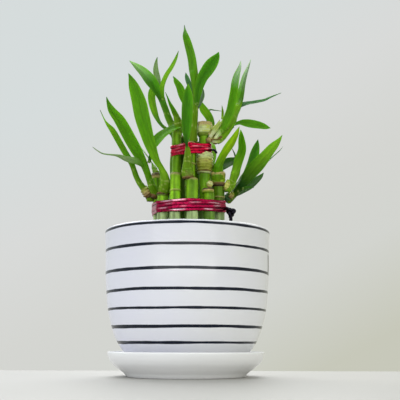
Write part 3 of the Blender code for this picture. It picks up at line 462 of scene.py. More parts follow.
# Dry sheaths, collars, knobs and buds on the stalks and shoots, which the CAD leaves out: low end,
# high end, how deep the wrinkles are, and (share of the way, radius, colour) along it.
HUSKS = {
    "node_a": ((-32.6, -1.2, 151.2), (-38.2, -3, 159.2), 0.8, [
        (0, 3.2, "dark"), (0.25, 4.1, "brown"), (0.5, 4.3, "tan"), (0.8, 3.7, "moss"), (1, 2.8, "olive"),
    ]),
    "knob_outer_01": ((-29.6, -3.4, 149.6), (-27.6, -4.6, 157.4), 0.7, [
        (0, 2.4, "dark"), (0.3, 3.3, "brown"), (0.6, 3.1, "brown"), (1, 2.2, "moss"),
    ]),
    "collar_outer_01": ((-24.9, 0, 148.8), (-24.9, 0, 152.2), 0.5, [
        (0, 4.7, "deep"), (0.35, 5.3, "brown"), (1, 5.1, "dark"),
    ]),
    "collar_outer_02": ((-20.6, -14.4, 149.2), (-20.5, -14.5, 153.4), 0.55, [
        (0, 4.9, "deep"), (0.4, 5.4, "dark"), (0.7, 5.4, "brown"), (1, 4.7, "dark"),
    ]),
    "bulb_f": ((0.6, -26.5, 161.6), (-0.2, -27.4, 174), 0.5, [
        (0, 4.5, "dark"), (0.12, 5.0, "brown"), (0.28, 4.8, "olive"), (0.5, 4.9, "deep"),
        (0.75, 4.5, "deep"), (1, 3.9, "green"),
    ]),
    "sleeve_inner_03": ((14.4, -7.1, 170.6), (14.6, -7.2, 188.6), 0.7, [
        (0, 5.2, "pale"), (0.05, 6.4, "pale"), (0.1, 6.2, "brown"), (0.16, 6.4, "moss"), (0.4, 7.4, "moss"),
        (0.62, 7.2, "straw"), (0.8, 7.5, "pale"), (1, 6.6, "pale"),
    ]),
    "neck_inner_03": ((14.4, -7.1, 203.2), (14.4, -7.1, 206.4), 0.15, [
        (0, 5.0, "deep"), (0.5, 6.2, "olive"), (1, 6.6, "olive"),
    ]),
    "crown_inner_03": ((14.4, -7.1, 205.8), (14.4, -7.1, 216.0), 0.35, [
        (0, 6.6, "olive"), (0.15, 6.7, "pale"), (0.5, 6.8, "pale"), (0.8, 6.8, "tan"), (1, 6.5, "tan"),
    ]),
    "scar_inner_03": ((20.4, -9.8, 199.4), (26.2, -10.4, 203.6), 0.4, [
        (0, 1.4, "dark"), (0.4, 2.2, "dark"), (1, 1.2, "brown"),
    ]),
    "stub_outer_06": ((26.4, -5.5, 159.6), (26.2, -6.6, 172.6), 0.4, [
        (0, 5.2, "dark"), (0.1, 6.3, "dark"), (0.24, 6.2, "brown"), (0.32, 5.9, "green"),
        (0.7, 6.2, "moss"), (0.9, 6.3, "tan"), (1, 5.2, "tan"),
    ]),
    "collar_outer_05": ((17.3, -19.9, 151), (17.2, -19.9, 155), 0.35, [
        (0, 4.9, "deep"), (0.35, 5.2, "moss"), (0.6, 5.2, "tan"), (0.8, 4.9, "dark"), (1, 4.6, "dark"),
    ]),
    "knob_outer_05": ((17.9, -17.4, 156.6), (19.6, -17.6, 162), 0.3, [
        (0, 1.2, "tan"), (0.3, 2.5, "straw"), (0.65, 2.7, "pale"), (1, 1.3, "tan"),
    ]),
    "bud_outer_02": ((-13.4, -15.6, 153), (-12.4, -15.8, 158.2), 0.3, [
        (0, 1.3, "brown"), (0.4, 2.0, "tan"), (0.75, 1.7, "brown"), (1, 0.6, "dark"),
    ]),
    "node_k": ((32.2, -7, 155.8), (36.4, -8, 164.6), 0.4, [
        (0, 1.8, "brown"), (0.3, 2.9, "straw"), (0.7, 3.1, "straw"), (1, 2.6, "green"),
    ]),
    "node_l": ((33.2, 8.2, 148.6), (37.6, 6.8, 155.6), 0.4, [
        (0, 2.6, "teal"), (0.4, 4.1, "teal"), (0.75, 4.0, "teal"), (1, 3.2, "deep"),
    ]),
    "bud_l": ((36.2, 4.2, 151.8), (40.4, 3.0, 156.6), 0.5, [
        (0, 1.5, "brown"), (0.35, 2.2, "tan"), (0.75, 2.1, "moss"), (1, 1.4, "olive"),
    ]),
    "node_i": ((22.2, -7.9, 197.6), (28.6, -8.4, 209.4), 0.7, [
        (0, 2.2, "brown"), (0.2, 3.8, "tan"), (0.45, 4.6, "olive"), (0.7, 4.4, "straw"),
        (0.85, 4.6, "pale"), (1, 4.0, "green"),
    ]),
    "node_i_low": ((15.6, -12.2, 198.6), (25.4, -10.8, 201.6), 0.6, [
        (0, 1.4, "brown"), (0.3, 2.3, "tan"), (0.6, 2.5, "olive"), (0.85, 2.4, "brown"), (1, 1.6, "tan"),
    ]),
    "node_i_top": ((18.4, -11.4, 203.6), (25.6, -10.4, 212.4), 0.6, [
        (0, 1.6, "tan"), (0.35, 2.6, "olive"), (0.7, 2.8, "straw"), (1, 2.0, "straw"),
    ]),
    "collar_outer_11": ((-27.9, 14, 170.4), (-28.1, 14, 175.6), 0.5, [
        (0, 4.4, "moss"), (0.35, 4.7, "tan"), (0.7, 4.7, "dark"), (1, 4.3, "grey"),
    ]),
    "sheath_q": ((-10, -0.5, 206.6), (-8.8, 0.5, 214.4), 0.25, [
        (0, 4.1, "green"), (0.3, 4.5, "deep"), (0.7, 4.4, "deep"), (1, 3.4, "deep"),
    ]),
}

# Colours of the ties, linear: the foil, and a highlight painted along the top of its front.
LOWER_RED = ((0.42, 0.002, 0.055), (1.0, 0.66, 0.78))
UPPER_RED = ((0.60, 0.002, 0.040), (1.0, 0.60, 0.66))
SHADED_RED = ((0.09, 0.001, 0.016), None)
# Near black for the twisted ends and the knot: painted shade, standing in for the red foil in shadow there.
SHADED_FOIL = (0.012, 0.010, 0.020)
# Strands of the ties: level from the tie's middle, distance out from the stalks, radius. The shaded
# ones fill the gaps behind the others.
LOWER_STRANDS = [(-3.8, 0.1, 1.35), (-1.3, 0.4, 1.45), (1.2, 0.1, 1.45), (3.7, 0.3, 1.3)]
UPPER_STRANDS = [(-3.3, 0.1, 1.3), (-1.1, 0.4, 1.35), (1.15, 0.1, 1.35), (3.35, 0.3, 1.3)]
SHADED_STRANDS = [(-2.55, -0.1, 1.2), (-0.05, -0.1, 1.2), (2.45, -0.1, 1.2)]
TIE_SQUASH = 0.42
# How a strand rises and falls: millimetres, times a turn, and how far the next strand is ahead.
STRAND_WAVES = [(0.35, 2, 1.9), (0.25, 5, 2.7)]
# The strands carry the painted highlight on their front, from the first distance out and fully at the second.
HIGHLIGHT_FROM, HIGHLIGHT_FULLY = 5, 13
LOWER_ENDS = [(32.0, -6, 140.8), (33.6, -8, 140.2), (35.0, -10, 139.2), (36.6, -11.4, 137.6)]
LOWER_TAIL = [(36.8, -12, 136.4), (36.0, -12.8, 133.0), (36.8, -13, 130.4), (36.0, -13, 127.6)]
LOWER_KNOT = (36.9, -12, 136.4)
UPPER_ENDS = [(20.0, -9.4, 191.2), (21.6, -11, 190.9), (23.4, -12.2, 189.9), (24.6, -12.6, 187.6)]

# Metres: the floor's near edge, back edge and half width.
FLOOR_EDGES = (-3.0, 0.131, 3.0)
# The floor's colour on the left and on the right, linear: darker and warmer on the right as painted shade.
FLOOR_LEFT = (0.434, 0.425, 0.409)
FLOOR_RIGHT = (0.424, 0.414, 0.385)
# Colours of the wall from low on the right to high on the left: the darker, warmer colours low on the
# right are painted shade.
WALL = [
    (0.08, (0.571, 0.578, 0.491)), (0.21, (0.648, 0.660, 0.625)), (0.32, (0.660, 0.668, 0.640)),
    (0.45, (0.690, 0.702, 0.692)), (0.60, (0.672, 0.716, 0.716)),
]
# Lights: place, the point they aim at, size, power, colour. Metres and watts.
LIGHTS = {
    "key": ((-0.9, -1.1, 1.5), (0, 0, 0.12), (1.2, 1.2), 7.3, (0.98, 0.98, 1.0)),
    "fill": ((1.2, -1.0, 0.6), (0, 0, 0.08), (1.2, 1.0), 2.1, (1.0, 0.99, 0.97)),
    "bounce": ((-0.1, -1.6, 0.10), (0, 0, 0.04), (3.0, 0.35), 7.6, (1, 1, 1)),
    "top": ((-0.12, 0.85, 1.25), (0, 0, 0.06), (1.4, 1.4), 24, (1, 1, 1)),
}
# The eye in metres, its tilt up and its roll in degrees, the lens and its sensor in millimetres, and
# the nearest distance it sees in metres.
EYE = (0.0106, -0.6472, 0.0279)
EYE_TILT = 10.60
EYE_ROLL = 0.18
LENS = 68.49
SENSOR = 36
NEAREST = 0.01

LATHE_CORNERS = 192
SOIL_CORNERS = 160
LEAF_SECTIONS = 72
LEAF_CORNERS = 36
CANE_CORNERS = 40
CANE_STEP = 1.0
WIRE_CORNERS = 14
NO_GRAIN = (0, 0, 0)
UP = Vector((0, 0, 1))


# ---- small sums
def held(value):
    """The value kept between 0 and 1."""
    return min(max(value, 0), 1)


def blend(first, second, share):
    share = held(share)
    return tuple(a + (b - a) * share for a, b in zip(first, second))


def times(colour, factor):
    return tuple(value * factor for value in colour)


def pulse(distance, width):
    """1 where the distance is 0, falling off smoothly over the width."""
    return math.exp(-((distance / width) ** 2))


def wobble(x, y, z):
    """Smooth noise between -1 and 1."""
    return noise.noise(Vector((x, y, z)))


def smooth_line(points, count):
    """Points of a Catmull-Rom line through the given ones, with their directions."""
    points = [Vector(point) for point in points]
    ends = [points[0] * 2 - points[1]] + points + [points[-1] * 2 - points[-2]]
    spans = len(points) - 1
    line = []
    for step in range(count):
        place = step / (count - 1) * spans
        span = min(int(place), spans - 1)
        t = place - span
        a, b, c, d = ends[span : span + 4]
        square = a * 2 - b * 5 + c * 4 - d
        cube = b * 3 - a - c * 3 + d
        spot = (b * 2 + (c - a) * t + square * t**2 + cube * t**3) / 2
        way = ((c - a) + square * 2 * t + cube * 3 * t**2) / 2
        line.append((spot, way.to_3d().normalized()))
    return line


def with_directions(points, closed=False):
    """Each point with the direction of the line there."""
    last = len(points) - 1
    line = []
    for step, place in enumerate(points):
        ahead = points[(step + 1) % len(points) if closed else min(step + 1, last)]
        behind = points[step - 1 if closed else max(step - 1, 0)]
        line.append((place, (ahead - behind).normalized()))
    return line


# ---- building meshes
class Shape:
    """Skins made of loops of points, with a colour and a grain place for each point."""

    def __init__(self):
        self.points = []
        self.faces = []
        self.tints = []
        self.grains = []

    def skin(self, sections, corners, point, ring=False):
        """Adds one loop of points for each section, and joins each loop to the next.

        point(section, angle) gives a place in millimetres, its colour and its grain. The last loop
        is joined to the first in a ring, and otherwise both ends are closed.
        """
        start = len(self.points)
        for section in sections:
            for corner in range(corners):
                place, tint, grain = point(section, math.tau * corner / corners)
                self.points.append(Vector(place) * MM)
                self.tints.append(tint)
                self.grains.append(grain)
        ends = range(start, len(self.points) + corners, corners)
        loops = [range(low, high) for low, high in zip(ends, ends[1:])]
        for first, second in zip(loops, loops[1:] + loops[:1] if ring else loops[1:]):
            for corner in range(corners):
                after = (corner + 1) % corners
                self.faces.append((first[corner], first[after], second[after], second[corner]))
        if not ring:
            self.faces.append(tuple(reversed(loops[0])))
            self.faces.append(tuple(loops[-1]))

    def piece(self, name, look, slot, nodes, crease):
        """Makes the object, with edges sharper than the crease angle in degrees kept sharp."""
        mesh = bpy.data.meshes.new(name)
        mesh.from_pydata([tuple(point) for point in self.points], [], self.faces)
        tint = mesh.attributes.new("tint", "FLOAT_COLOR", "POINT")
        tint.data.foreach_set("color", [v for t in self.tints for v in (*t, 1)])
        grain = mesh.attributes.new("grain", "FLOAT_VECTOR", "POINT")
        grain.data.foreach_set("vector", [v for g in self.grains for v in g])
        mesh.materials.append(look)
        mesh.shade_smooth()
        mesh.set_sharp_from_angle(angle=math.radians(crease))
        made = place_in_scene(name, mesh)
        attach(made, "root")
        if nodes:
            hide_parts(*nodes)


def place_in_scene(name, data):
    made = bpy.data.objects.new(name, data)
    bpy.context.scene.collection.objects.link(made)
    return made


# ---- node materials
class Graph:
    """The nodes of a material or a world, added and joined by short calls."""

    def __init__(self, owner):
        owner.use_nodes = True
        self.owner = owner
        self.tree = owner.node_tree
        self.shader = self.tree.nodes.get("Principled BSDF")

    def node(self, kind, inputs=(), **settings):
        made = self.tree.nodes.new(kind)
        for key, value in settings.items():
            setattr(made, key, value)
        for key, value in dict(inputs).items():
            self.put(made.inputs[key], value)
        return made

    def put(self, socket, value):
        if isinstance(value, bpy.types.NodeSocket):
            self.tree.links.new(value, socket)
        else:
            socket.default_value = value

    def math(self, operation, first, second=0.0):
        return self.node("ShaderNodeMath", {0: first, 1: second}, operation=operation).outputs[0]

    def vector(self, operation, first, second=(0, 0, 0)):
        return self.node("ShaderNodeVectorMath", {0: first, 1: second}, operation=operation).outputs[0]

    def axes(self, vector):
        return self.node("ShaderNodeSeparateXYZ", {0: vector}).outputs

    def noise(self, place, scale, detail=2.0, roughness=0.5):
        inputs = {"Vector": place, "Scale": scale, "Detail": detail, "Roughness": roughness}
        return self.node("ShaderNodeTexNoise", inputs).outputs["Fac"]

    def spread(self, value, low, high, start=0.0, end=1.0):
        """Maps value from low..high to start..end, held at both ends."""
        inputs = {"Value": value, "From Min": low, "From Max": high, "To Min": start, "To Max": end}
        return self.node("ShaderNodeMapRange", inputs).outputs["Result"]

    def mix(self, share, first, second, blend_type="MIX"):
        made = self.node("ShaderNodeMix", data_type="RGBA", blend_type=blend_type)
        self.put(made.inputs["Factor"], share)
        for socket, value in zip([s for s in made.inputs if s.type == "RGBA"], (first, second)):
            self.put(socket, value if isinstance(value, bpy.types.NodeSocket) else (*value, 1))
        return next(s for s in made.outputs if s.type == "RGBA")

    def colour_times(self, colour, factor):
        grey = self.node("ShaderNodeCombineColor", {0: factor, 1: factor, 2: factor}).outputs[0]
        return self.mix(1.0, colour, grey, "MULTIPLY")

    def place(self):
        return self.node("ShaderNodeTexCoord").outputs["Object"]

    def tint(self):
        return self.node("ShaderNodeAttribute", attribute_name="tint").outputs["Color"]

    def grain(self):
        """Distance round, distance along and a number of its own for each point of a cane or leaf."""
        return self.node("ShaderNodeAttribute", attribute_name="grain").outputs["Vector"]

    def bump(self, height, distance, strength=1.0):
        inputs = {"Height": height, "Distance": distance, "Strength": strength}
        self.put(self.shader.inputs["Normal"], self.node("ShaderNodeBump", inputs).outputs[0])

    def set(self, **values):
        for key, value in values.items():
            self.put(self.shader.inputs[key.replace("_", " ")], value)


def new_skin(name):
    return Graph(bpy.data.materials.new(name))


def hoop_mask(graph, place):
    """1 on the painted hoops. They are painted by hand, so they waver and change in thickness."""
    height = graph.math("MULTIPLY", graph.axes(place)[2], 1000.0)
    round_place = graph.vector("NORMALIZE", graph.vector("MULTIPLY", place, (1, 1, 0)))
    side = graph.axes(round_place)[0]
    mask = slip_of_the_brush(graph, round_place, height)
    for number, (middle, thick, lean) in enumerate(HOOPS):
        slow = graph.vector("ADD", round_place, (0, 0, 3.7 * number + 1.3))
        drift = graph.spread(graph.noise(slow, 1.3, 1), 0.2, 0.8, -0.45, 0.45)
        change = graph.spread(graph.noise(slow, 3.1, 2), 0.2, 0.8, -0.55, 0.55)
        off = graph.math("ABSOLUTE", graph.math("SUBTRACT", graph.math("SUBTRACT", height, middle), drift))
        width = graph.math("ADD", graph.math("MULTIPLY", side, lean), graph.math("ADD", change, thick))
        inside = graph.math("SUBTRACT", graph.math("MULTIPLY", width, 0.5), off)
        mask = graph.math("MAXIMUM", mask, graph.spread(inside, -0.12, 0.14))
    return mask


def slip_of_the_brush(graph, round_place, height):
    """1 on a short upright stroke between two hoops at the pot's right."""
    axes = graph.axes(round_place)
    drift = graph.spread(graph.noise(round_place, 4.0, 1), 0.2, 0.8, -0.02, 0.02)
    off = graph.math("ABSOLUTE", graph.math("ADD", graph.math("ADD", axes[1], SLIP_FORWARD), drift))
    right = graph.math("GREATER_THAN", axes[0], 0.0)
    across = graph.math("MULTIPLY", graph.spread(off, 0.070, 0.050), right)
    low = graph.spread(height, SLIP_HEIGHTS[0] - 1, SLIP_HEIGHTS[0] + 1)
    high = graph.spread(height, SLIP_HEIGHTS[1] - 1, SLIP_HEIGHTS[1] + 1, 1.0, 0.0)
    return graph.math("MULTIPLY", across, graph.math("MULTIPLY", low, high))


def glaze(name, whites, hoops):
    """White glaze with faint clouds and a slightly uneven skin.

    Painted light makes it bluer on its left, a little lighter low down and darker high up.
    """
    graph = new_skin(name)
    place = graph.place()
    axes = graph.axes(place)
    clouds = graph.spread(graph.noise(place, 22.0, 3), 0.3, 0.7, -0.3, 0.3)
    # Painted light: bluer towards the left, lighter low down and darker high up.
    share = graph.math("ADD", graph.spread(axes[0], -0.05, 0.06), clouds)
    painted_light_by_height = graph.spread(axes[2], 0.04, 0.12, 1.03, 0.91)
    colour = graph.colour_times(graph.mix(share, *whites), painted_light_by_height)
    if hoops:
        streaks = graph.noise(graph.vector("MULTIPLY", place, (1, 1, 14)), 260.0, 2)
        ink = graph.colour_times(HOOP_INK, graph.spread(streaks, 0.3, 0.7, 0.7, 1.7))
        colour = graph.mix(hoop_mask(graph, place), colour, ink)
    graph.set(Base_Color=colour, Roughness=graph.spread(graph.noise(place, 60.0, 2), 0.3, 0.7, 0.10, 0.20))
    graph.set(IOR=1.5, Specular_IOR_Level=0.3)
    graph.bump(graph.noise(place, 45.0, 2, 0.4), 0.0006, 0.25)
    return graph.owner


def earth():
    """Dark crumbly soil."""
    graph = new_skin("potting_mix")
    place = graph.place()
    crumbs = graph.noise(place, 900.0, 4, 0.7)
    graph.set(Base_Color=graph.colour_times(graph.tint(), graph.spread(crumbs, 0.3, 0.75, 0.5, 1.7)))
    graph.set(Roughness=graph.spread(crumbs, 0.3, 0.7, 0.98, 0.8))
    graph.bump(graph.noise(place, 1500.0, 4, 0.7), 0.0006, 0.8)
    return graph.owner


def cane_skin():
    """Smooth green cane, with fine fibres along it and soft blotches. Its scars are in its tint."""
    graph = new_skin("cane")
    grain = graph.grain()
    fibres = graph.noise(graph.vector("MULTIPLY", grain, (1, 0.035, 1)), 3.2, 3, 0.6)
    blotches = graph.noise(graph.vector("MULTIPLY", grain, (0.16, 0.10, 1)), 1.6, 3)
    shade = graph.spread(fibres, 0.3, 0.7, 0.82, 1.18)
    shade = graph.math("MULTIPLY", shade, graph.spread(blotches, 0.3, 0.7, 0.84, 1.16))
    graph.set(Base_Color=graph.colour_times(graph.tint(), shade))
    graph.set(Roughness=graph.spread(blotches, 0.3, 0.7, 0.20, 0.32), Specular_IOR_Level=0.16)
    graph.set(Subsurface_Weight=0.12, Subsurface_Radius=(0.8, 1.0, 0.3), Subsurface_Scale=0.002)
    graph.bump(fibres, 0.0003, 0.35)
    return graph.owner


def leaf_skin():
    """Leaf: parallel veins, a finer mottle, and a waxy skin that lets some light through."""
    graph = new_skin("leaf")
    grain = graph.grain()
    lines = graph.noise(graph.vector("MULTIPLY", grain, (1, 0.012, 0.05)), 2.6, 2, 0.6)
    veins = graph.math("SINE", graph.math("MULTIPLY", graph.axes(grain)[0], 9.0))
    mottle = graph.noise(graph.vector("MULTIPLY", grain, (0.35, 0.10, 1)), 1.4, 3)
    shade = graph.spread(lines, 0.3, 0.7, 0.70, 1.26)
    shade = graph.math("MULTIPLY", shade, graph.spread(veins, -1.0, 1.0, 0.95, 1.06))
    shade = graph.math("MULTIPLY", shade, graph.spread(mottle, 0.3, 0.7, 0.88, 1.14))
    graph.set(Base_Color=graph.colour_times(graph.tint(), shade))
    graph.set(Roughness=graph.spread(mottle, 0.3, 0.7, 0.32, 0.46), Specular_IOR_Level=0.09)
    graph.set(Subsurface_Weight=0.20, Subsurface_Radius=(0.5, 1.0, 0.2), Subsurface_Scale=0.0012)
    graph.bump(graph.math("ADD", graph.math("MULTIPLY", veins, 0.5), lines), 0.00018, 0.5)
    return graph.owner


def foil(name, crease_shade, glitter):
    """Glossy foil-covered wire, creased, with painted shade darkening the hollows of its creases."""
    graph = new_skin(name)
    place = graph.place()
    creases = graph.noise(place, 520.0, 3, 0.65)
    # Painted shade: darker in the hollows of the creases.
    colour = graph.colour_times(graph.tint(), graph.spread(creases, 0.35, 0.58, crease_shade, 1.05))
    flecks = graph.node("ShaderNodeTexVoronoi", {"Vector": place, "Scale": 700.0})
    sparkle = graph.spread(flecks.outputs["Distance"], 0.0, 0.22, glitter, 0.0)
    colour = graph.mix(sparkle, colour, (1.0, 0.20, 0.10))
    graph.set(Base_Color=colour, Roughness=graph.spread(creases, 0.3, 0.7, 0.12, 0.26), Metallic=0.85)
    graph.bump(creases, 0.0004, 0.35)
    return graph.owner


# ---- pot, saucer and soil
def lathe(shape, profile, offset=0, ring=True):
    """Turns a profile of (radius, height) about a vertical axis."""

    def point(section, angle):
        radius, height = section
        return (offset + math.cos(angle) * radius, math.sin(angle) * radius, height), GLAZE_TINT, NO_GRAIN

    shape.skin(profile, LATHE_CORNERS, point, ring)


def rounded(points, steps=6):
    """A profile with its points joined by a smooth line."""
    line = smooth_line([(radius, height, 0) for radius, height in points], (len(points) - 1) * steps + 1)
    return [(spot.x, spot.y) for spot, _ in line]


def pot_rim(steps=16):
    """The half-round lip, from the inside of the wall to the outside."""
    lip = POT_THICKNESS / 2
    radius, height = POT_WALL[0]
    lip_height = POT_TOP - height
    turns = [math.pi * step / steps for step in range(1, steps)]
    return [(radius - lip - math.cos(turn) * lip, height + math.sin(turn) * lip_height) for turn in turns]


def pot():
    """Down the outside wall, round the foot ring, up through the drain hole and back up the inside."""
    wall = rounded(POT_WALL)
    ring_inside = POT_FOOT_RADIUS - POT_FOOT_WIDTH
    underside = POT_BASE + POT_FOOT_HEIGHT
    foot = [
        (POT_FOOT_RADIUS + 0.9, underside), (POT_FOOT_RADIUS + 0.5, POT_BASE + 0.7),
        (POT_FOOT_RADIUS - 0.3, POT_BASE), (ring_inside + 0.4, POT_BASE),
        (ring_inside, POT_BASE + 0.4), (ring_inside - 0.6, underside),
    ]
    drain = [
        (DRAIN_RADIUS + 0.5, underside), (DRAIN_RADIUS, underside + 0.5),
        (DRAIN_RADIUS, POT_FLOOR - 0.5), (DRAIN_RADIUS + 0.5, POT_FLOOR),
    ]
    inside = [(POT_FOOT_RADIUS - POT_THICKNESS, POT_FLOOR)]
    inside += [(radius - POT_THICKNESS, height) for radius, height in reversed(wall)]
    shape = Shape()
    lathe(shape, wall + foot + drain + inside + pot_rim())
    shape.piece("glazed_pot", POT_GLAZE, "white_glaze", ["pot"], 45)


def saucer():
    """From the middle out over the top, round the lip, down the outside and back under the foot."""
    outside = rounded(SAUCER_OUTSIDE[1:-1])
    inside = rounded(SAUCER_INSIDE[1:])
    lip = [(63.5, 20.3), (64.1, 20.45), (64.7, 20.3), (65.1, 19.95)]
    foot = [(50.4, 1.9), (49.6, 0.5), (48.5, 0), (47.0, 0), (46.6, 0.5), (30, 0.9)]
    shape = Shape()
    lathe(shape, [(0.01, 5), (20, 5)] + inside + lip + outside + foot + [(0.01, 0.9)], SAUCER_OFFSET, False)
    shape.piece("glazed_saucer", SAUCER_GLAZE, "white_glaze", ["saucer"], 45)


SOIL_RADIUS = POT_WALL[1][0] - POT_THICKNESS - 0.4


def lumps(x, y, kind, pattern):
    """Height of the broad or fine lumps here."""
    length, height = kind
    return wobble(x / length, y / length, pattern) * height


def ground(distance, x, y, below):
    """Height of a point below the soil's crown, this far from its middle."""
    crown = SOIL_TOP + SOIL_CROWN * (1 - (distance / SOIL_RADIUS) ** 2)
    return crown - below + lumps(x, y, BROAD_LUMPS, 0)


def soil():
    """A crumbly crowned top, with loose crumbs and bits of bark on it."""
    edge = [(SOIL_RADIUS - 1.5, SOIL_TOP - 24), (SOIL_RADIUS - 0.6, SOIL_TOP - 8)]
    top = [(SOIL_RADIUS * share, None) for share in np.linspace(1, 0.01, SOIL_ROWS)]

    def point(section, angle):
        distance, height = section
        x = math.cos(angle) * distance
        y = math.sin(angle) * distance
        if height is None:
            height = ground(distance, x, y, 0.6) + lumps(x, y, FINE_LUMPS, 5)
        return (x, y, height), blend(SOIL_DARK, SOIL_PALE, 0.5 + wobble(x / 3, y / 3, 9)), NO_GRAIN

    shape = Shape()
    shape.skin(edge + top, SOIL_CORNERS, point)
    dice = random.Random(4)
    for _ in range(CRUMBS):
        distance = SOIL_RADIUS * math.sqrt(dice.random()) * 0.97
        angle = math.tau * dice.random()
        x = math.cos(angle) * distance
        y = math.sin(angle) * distance
        crumb(shape, (x, y, ground(distance, x, y, 0.2)), dice)
    shape.piece("potting_soil", EARTH, "potting_soil", ["soil"], 50)


def crumb(shape, centre, dice, levels=5, corners=6):
    """One irregular lump of soil, or a flat bit of bark."""
    bark = dice.random() < BARK_SHARE
    size = dice.uniform(*(BARK_SIZES if bark else CRUMB_SIZES))
    turn = Euler((dice.uniform(-0.5, 0.5), dice.uniform(-0.5, 0.5), dice.uniform(0, math.tau)))
    squash = BARK_SQUASH if bark else CRUMB_SQUASH
    reaches = iter([size * dice.uniform(0.75, 1.15) for _ in range(levels * corners)])
    tint = times(BARK if bark else CRUMB, dice.uniform(0.6, 1.5))

    def point(level, angle):
        lift = math.pi * (level + 0.5) / levels - math.pi / 2
        reach = next(reaches)
        spot = (math.cos(angle) * math.cos(lift), math.sin(angle) * math.cos(lift), math.sin(lift))
        spot = Vector([a * b * reach for a, b in zip(spot, squash)])
        spot.rotate(turn)
        return Vector(centre) + spot, tint, NO_GRAIN

    shape.skin(range(levels), corners, point)


# ---- stalks
def on_ring(centre, distance, bearing):
    angle = math.radians(bearing)
    return Vector((centre[0] + math.sin(angle) * distance, centre[1] - math.cos(angle) * distance, 0))


class Cane:
    """One cut cane: ringed at its joints, pale low down, with a dry cut top."""

    def __init__(self, foot, radius, top, rings, lean, head, paleness, painted_shading, seed):
        self.foot = foot
        self.radius = radius
        self.top = top
        self.rings = rings
        self.lean = lean
        self.head_radius, self.head_length = head
        self.knobbly = self.head_radius > radius + 1
        self.paleness = paleness
        self.painted_shading = painted_shading
        self.seed = seed

    def centre(self, height):
        share = (height - STALK_FOOT) / (self.top - STALK_FOOT)
        return Vector((self.foot.x + self.lean[0] * share, self.foot.y + self.lean[1] * share, height))

    def heights(self):
        """Heights of the wall's rows: close together at the rings and the top."""
        marks = {float(STALK_FOOT), float(SOIL_TOP - 6)}
        marks.update(np.arange(SOIL_TOP - 4, self.top - 2, CANE_STEP).round(3))
        for ring in self.rings:
            marks.update((ring + np.arange(-3, 3.01, 0.3)).round(3))
        marks.update((self.top - np.arange(0.9, 3, 0.3)).round(3))
        return sorted(mark for mark in marks if mark < self.top - 0.8)

    def colour(self, x, y, height, swollen):
        """Green in streaks, paler under the tie, darker high up, yellow on a knobbly head, dry at the cut.

        The streaks are partly natural streaking and partly painted highlight. Darker high up is painted
        shade from the leaves above, and each stalk is lighter or darker as a whole as painted light and
        shade.
        """
        green = blend(CANE_GREEN, CANE_DEEP, 0.5 + wobble(x * 1.5, y * 1.5, height / 15 + self.seed))
        pale = blend(CANE_DEEP, CANE_PALE, self.paleness + 0.25 * wobble(x, y, height / 9 + self.seed + 4))
        # Painted light and shade: each stalk lighter or darker as a whole, and darker high up under the
        # leaves.
        shade = self.painted_shading * (1.28 - 0.56 * held((height - SHADE_FROM) / (SHADE_TO - SHADE_FROM)))
        colour = blend(times(green, shade), pale, held((PALE_TOP - height) / 10))
        # Streaks all round, partly natural streaking and partly painted highlight.
        colour = times(colour, 1 + STREAKS * wobble(x * 2.4, y * 2.4, height / 60 + self.seed * 1.7))
        if self.knobbly:
            colour = blend(colour, CANE_YELLOW, 0.9 * swollen)
        dry = (height - (self.top - DRY_TOP)) / DRY_TOP + 0.4 * wobble(x * 3, y * 3, self.seed)
        return blend(colour, TAN, dry * 0.8)

    def wall(self, height, angle):
        x, y = math.cos(angle), math.sin(angle)
        swollen = held((height - self.top + self.head_length) / 2.2) if self.head_length else 0
        body = self.radius + (self.head_radius - self.radius) * swollen
        reach = body + wobble(x * 0.9, y * 0.9, height / 22 + self.seed) * UNEVEN
        scar = 0.0
        shadow = 0.0
        for ring in self.rings:
            away = height - ring - RING_SLANT * math.sin(angle + self.seed)
            hollow = HOLLOW_DEPTH * pulse(away + HOLLOW_BELOW, HOLLOW_WIDTH)
            reach += RING_STANDS * pulse(away, RING_WIDTH) - hollow
            scar = max(scar, pulse(away, SCAR_WIDTH))
            shadow = max(shadow, pulse(away + SHADOW_BELOW, SHADOW_WIDTH))
        if self.knobbly:
            reach += wobble(x * 2, y * 2, height / 3 + self.seed) * KNOBS * swollen
        colour = blend(self.colour(x, y, height, swollen), SCAR, scar * SCAR_STRENGTH)
        colour = blend(colour, BROWN, shadow * SHADOW_STRENGTH)
        place = self.centre(height) + Vector((x, y, 0)) * reach
        return place, colour, (angle * body, height, self.seed)

    def cut_end(self, inward, depth, angle):
        x, y = math.cos(angle), math.sin(angle)
        reach = max(self.head_radius - inward, 0.15)
        ragged = wobble(x * 2.5, y * 2.5, self.seed + 11) * 0.35
        ragged += wobble(x * 7, y * 7, self.seed + 3 + inward) * 0.22
        rim = blend(TAN, BROWN, CUT_BROWN + 0.6 * wobble(x * 3, y * 3, inward + self.seed))
        face = blend(TAN, BROWN, CUT_BROWN * 0.8 + 0.7 * wobble(x * reach, y * reach, self.seed))
        place = self.centre(self.top) + Vector((x * reach, y * reach, ragged - depth))
        return place, blend(rim, face, inward), (angle * reach, self.top + inward * 6, self.seed)

    def point(self, section, angle):
        """A section is a height on the wall, or a row of the cut end."""
        return self.cut_end(*section, angle) if isinstance(section, tuple) else self.wall(section, angle)

    def build(self, tier, number):
        shape = Shape()
        shape.skin(self.heights() + CUT_ROWS, CANE_CORNERS, self.point)
        shape.piece(f"{tier}_cane_{number:02d}", CANE, "stalk", [f"stalk_{tier}_{number:02d}"], 70)


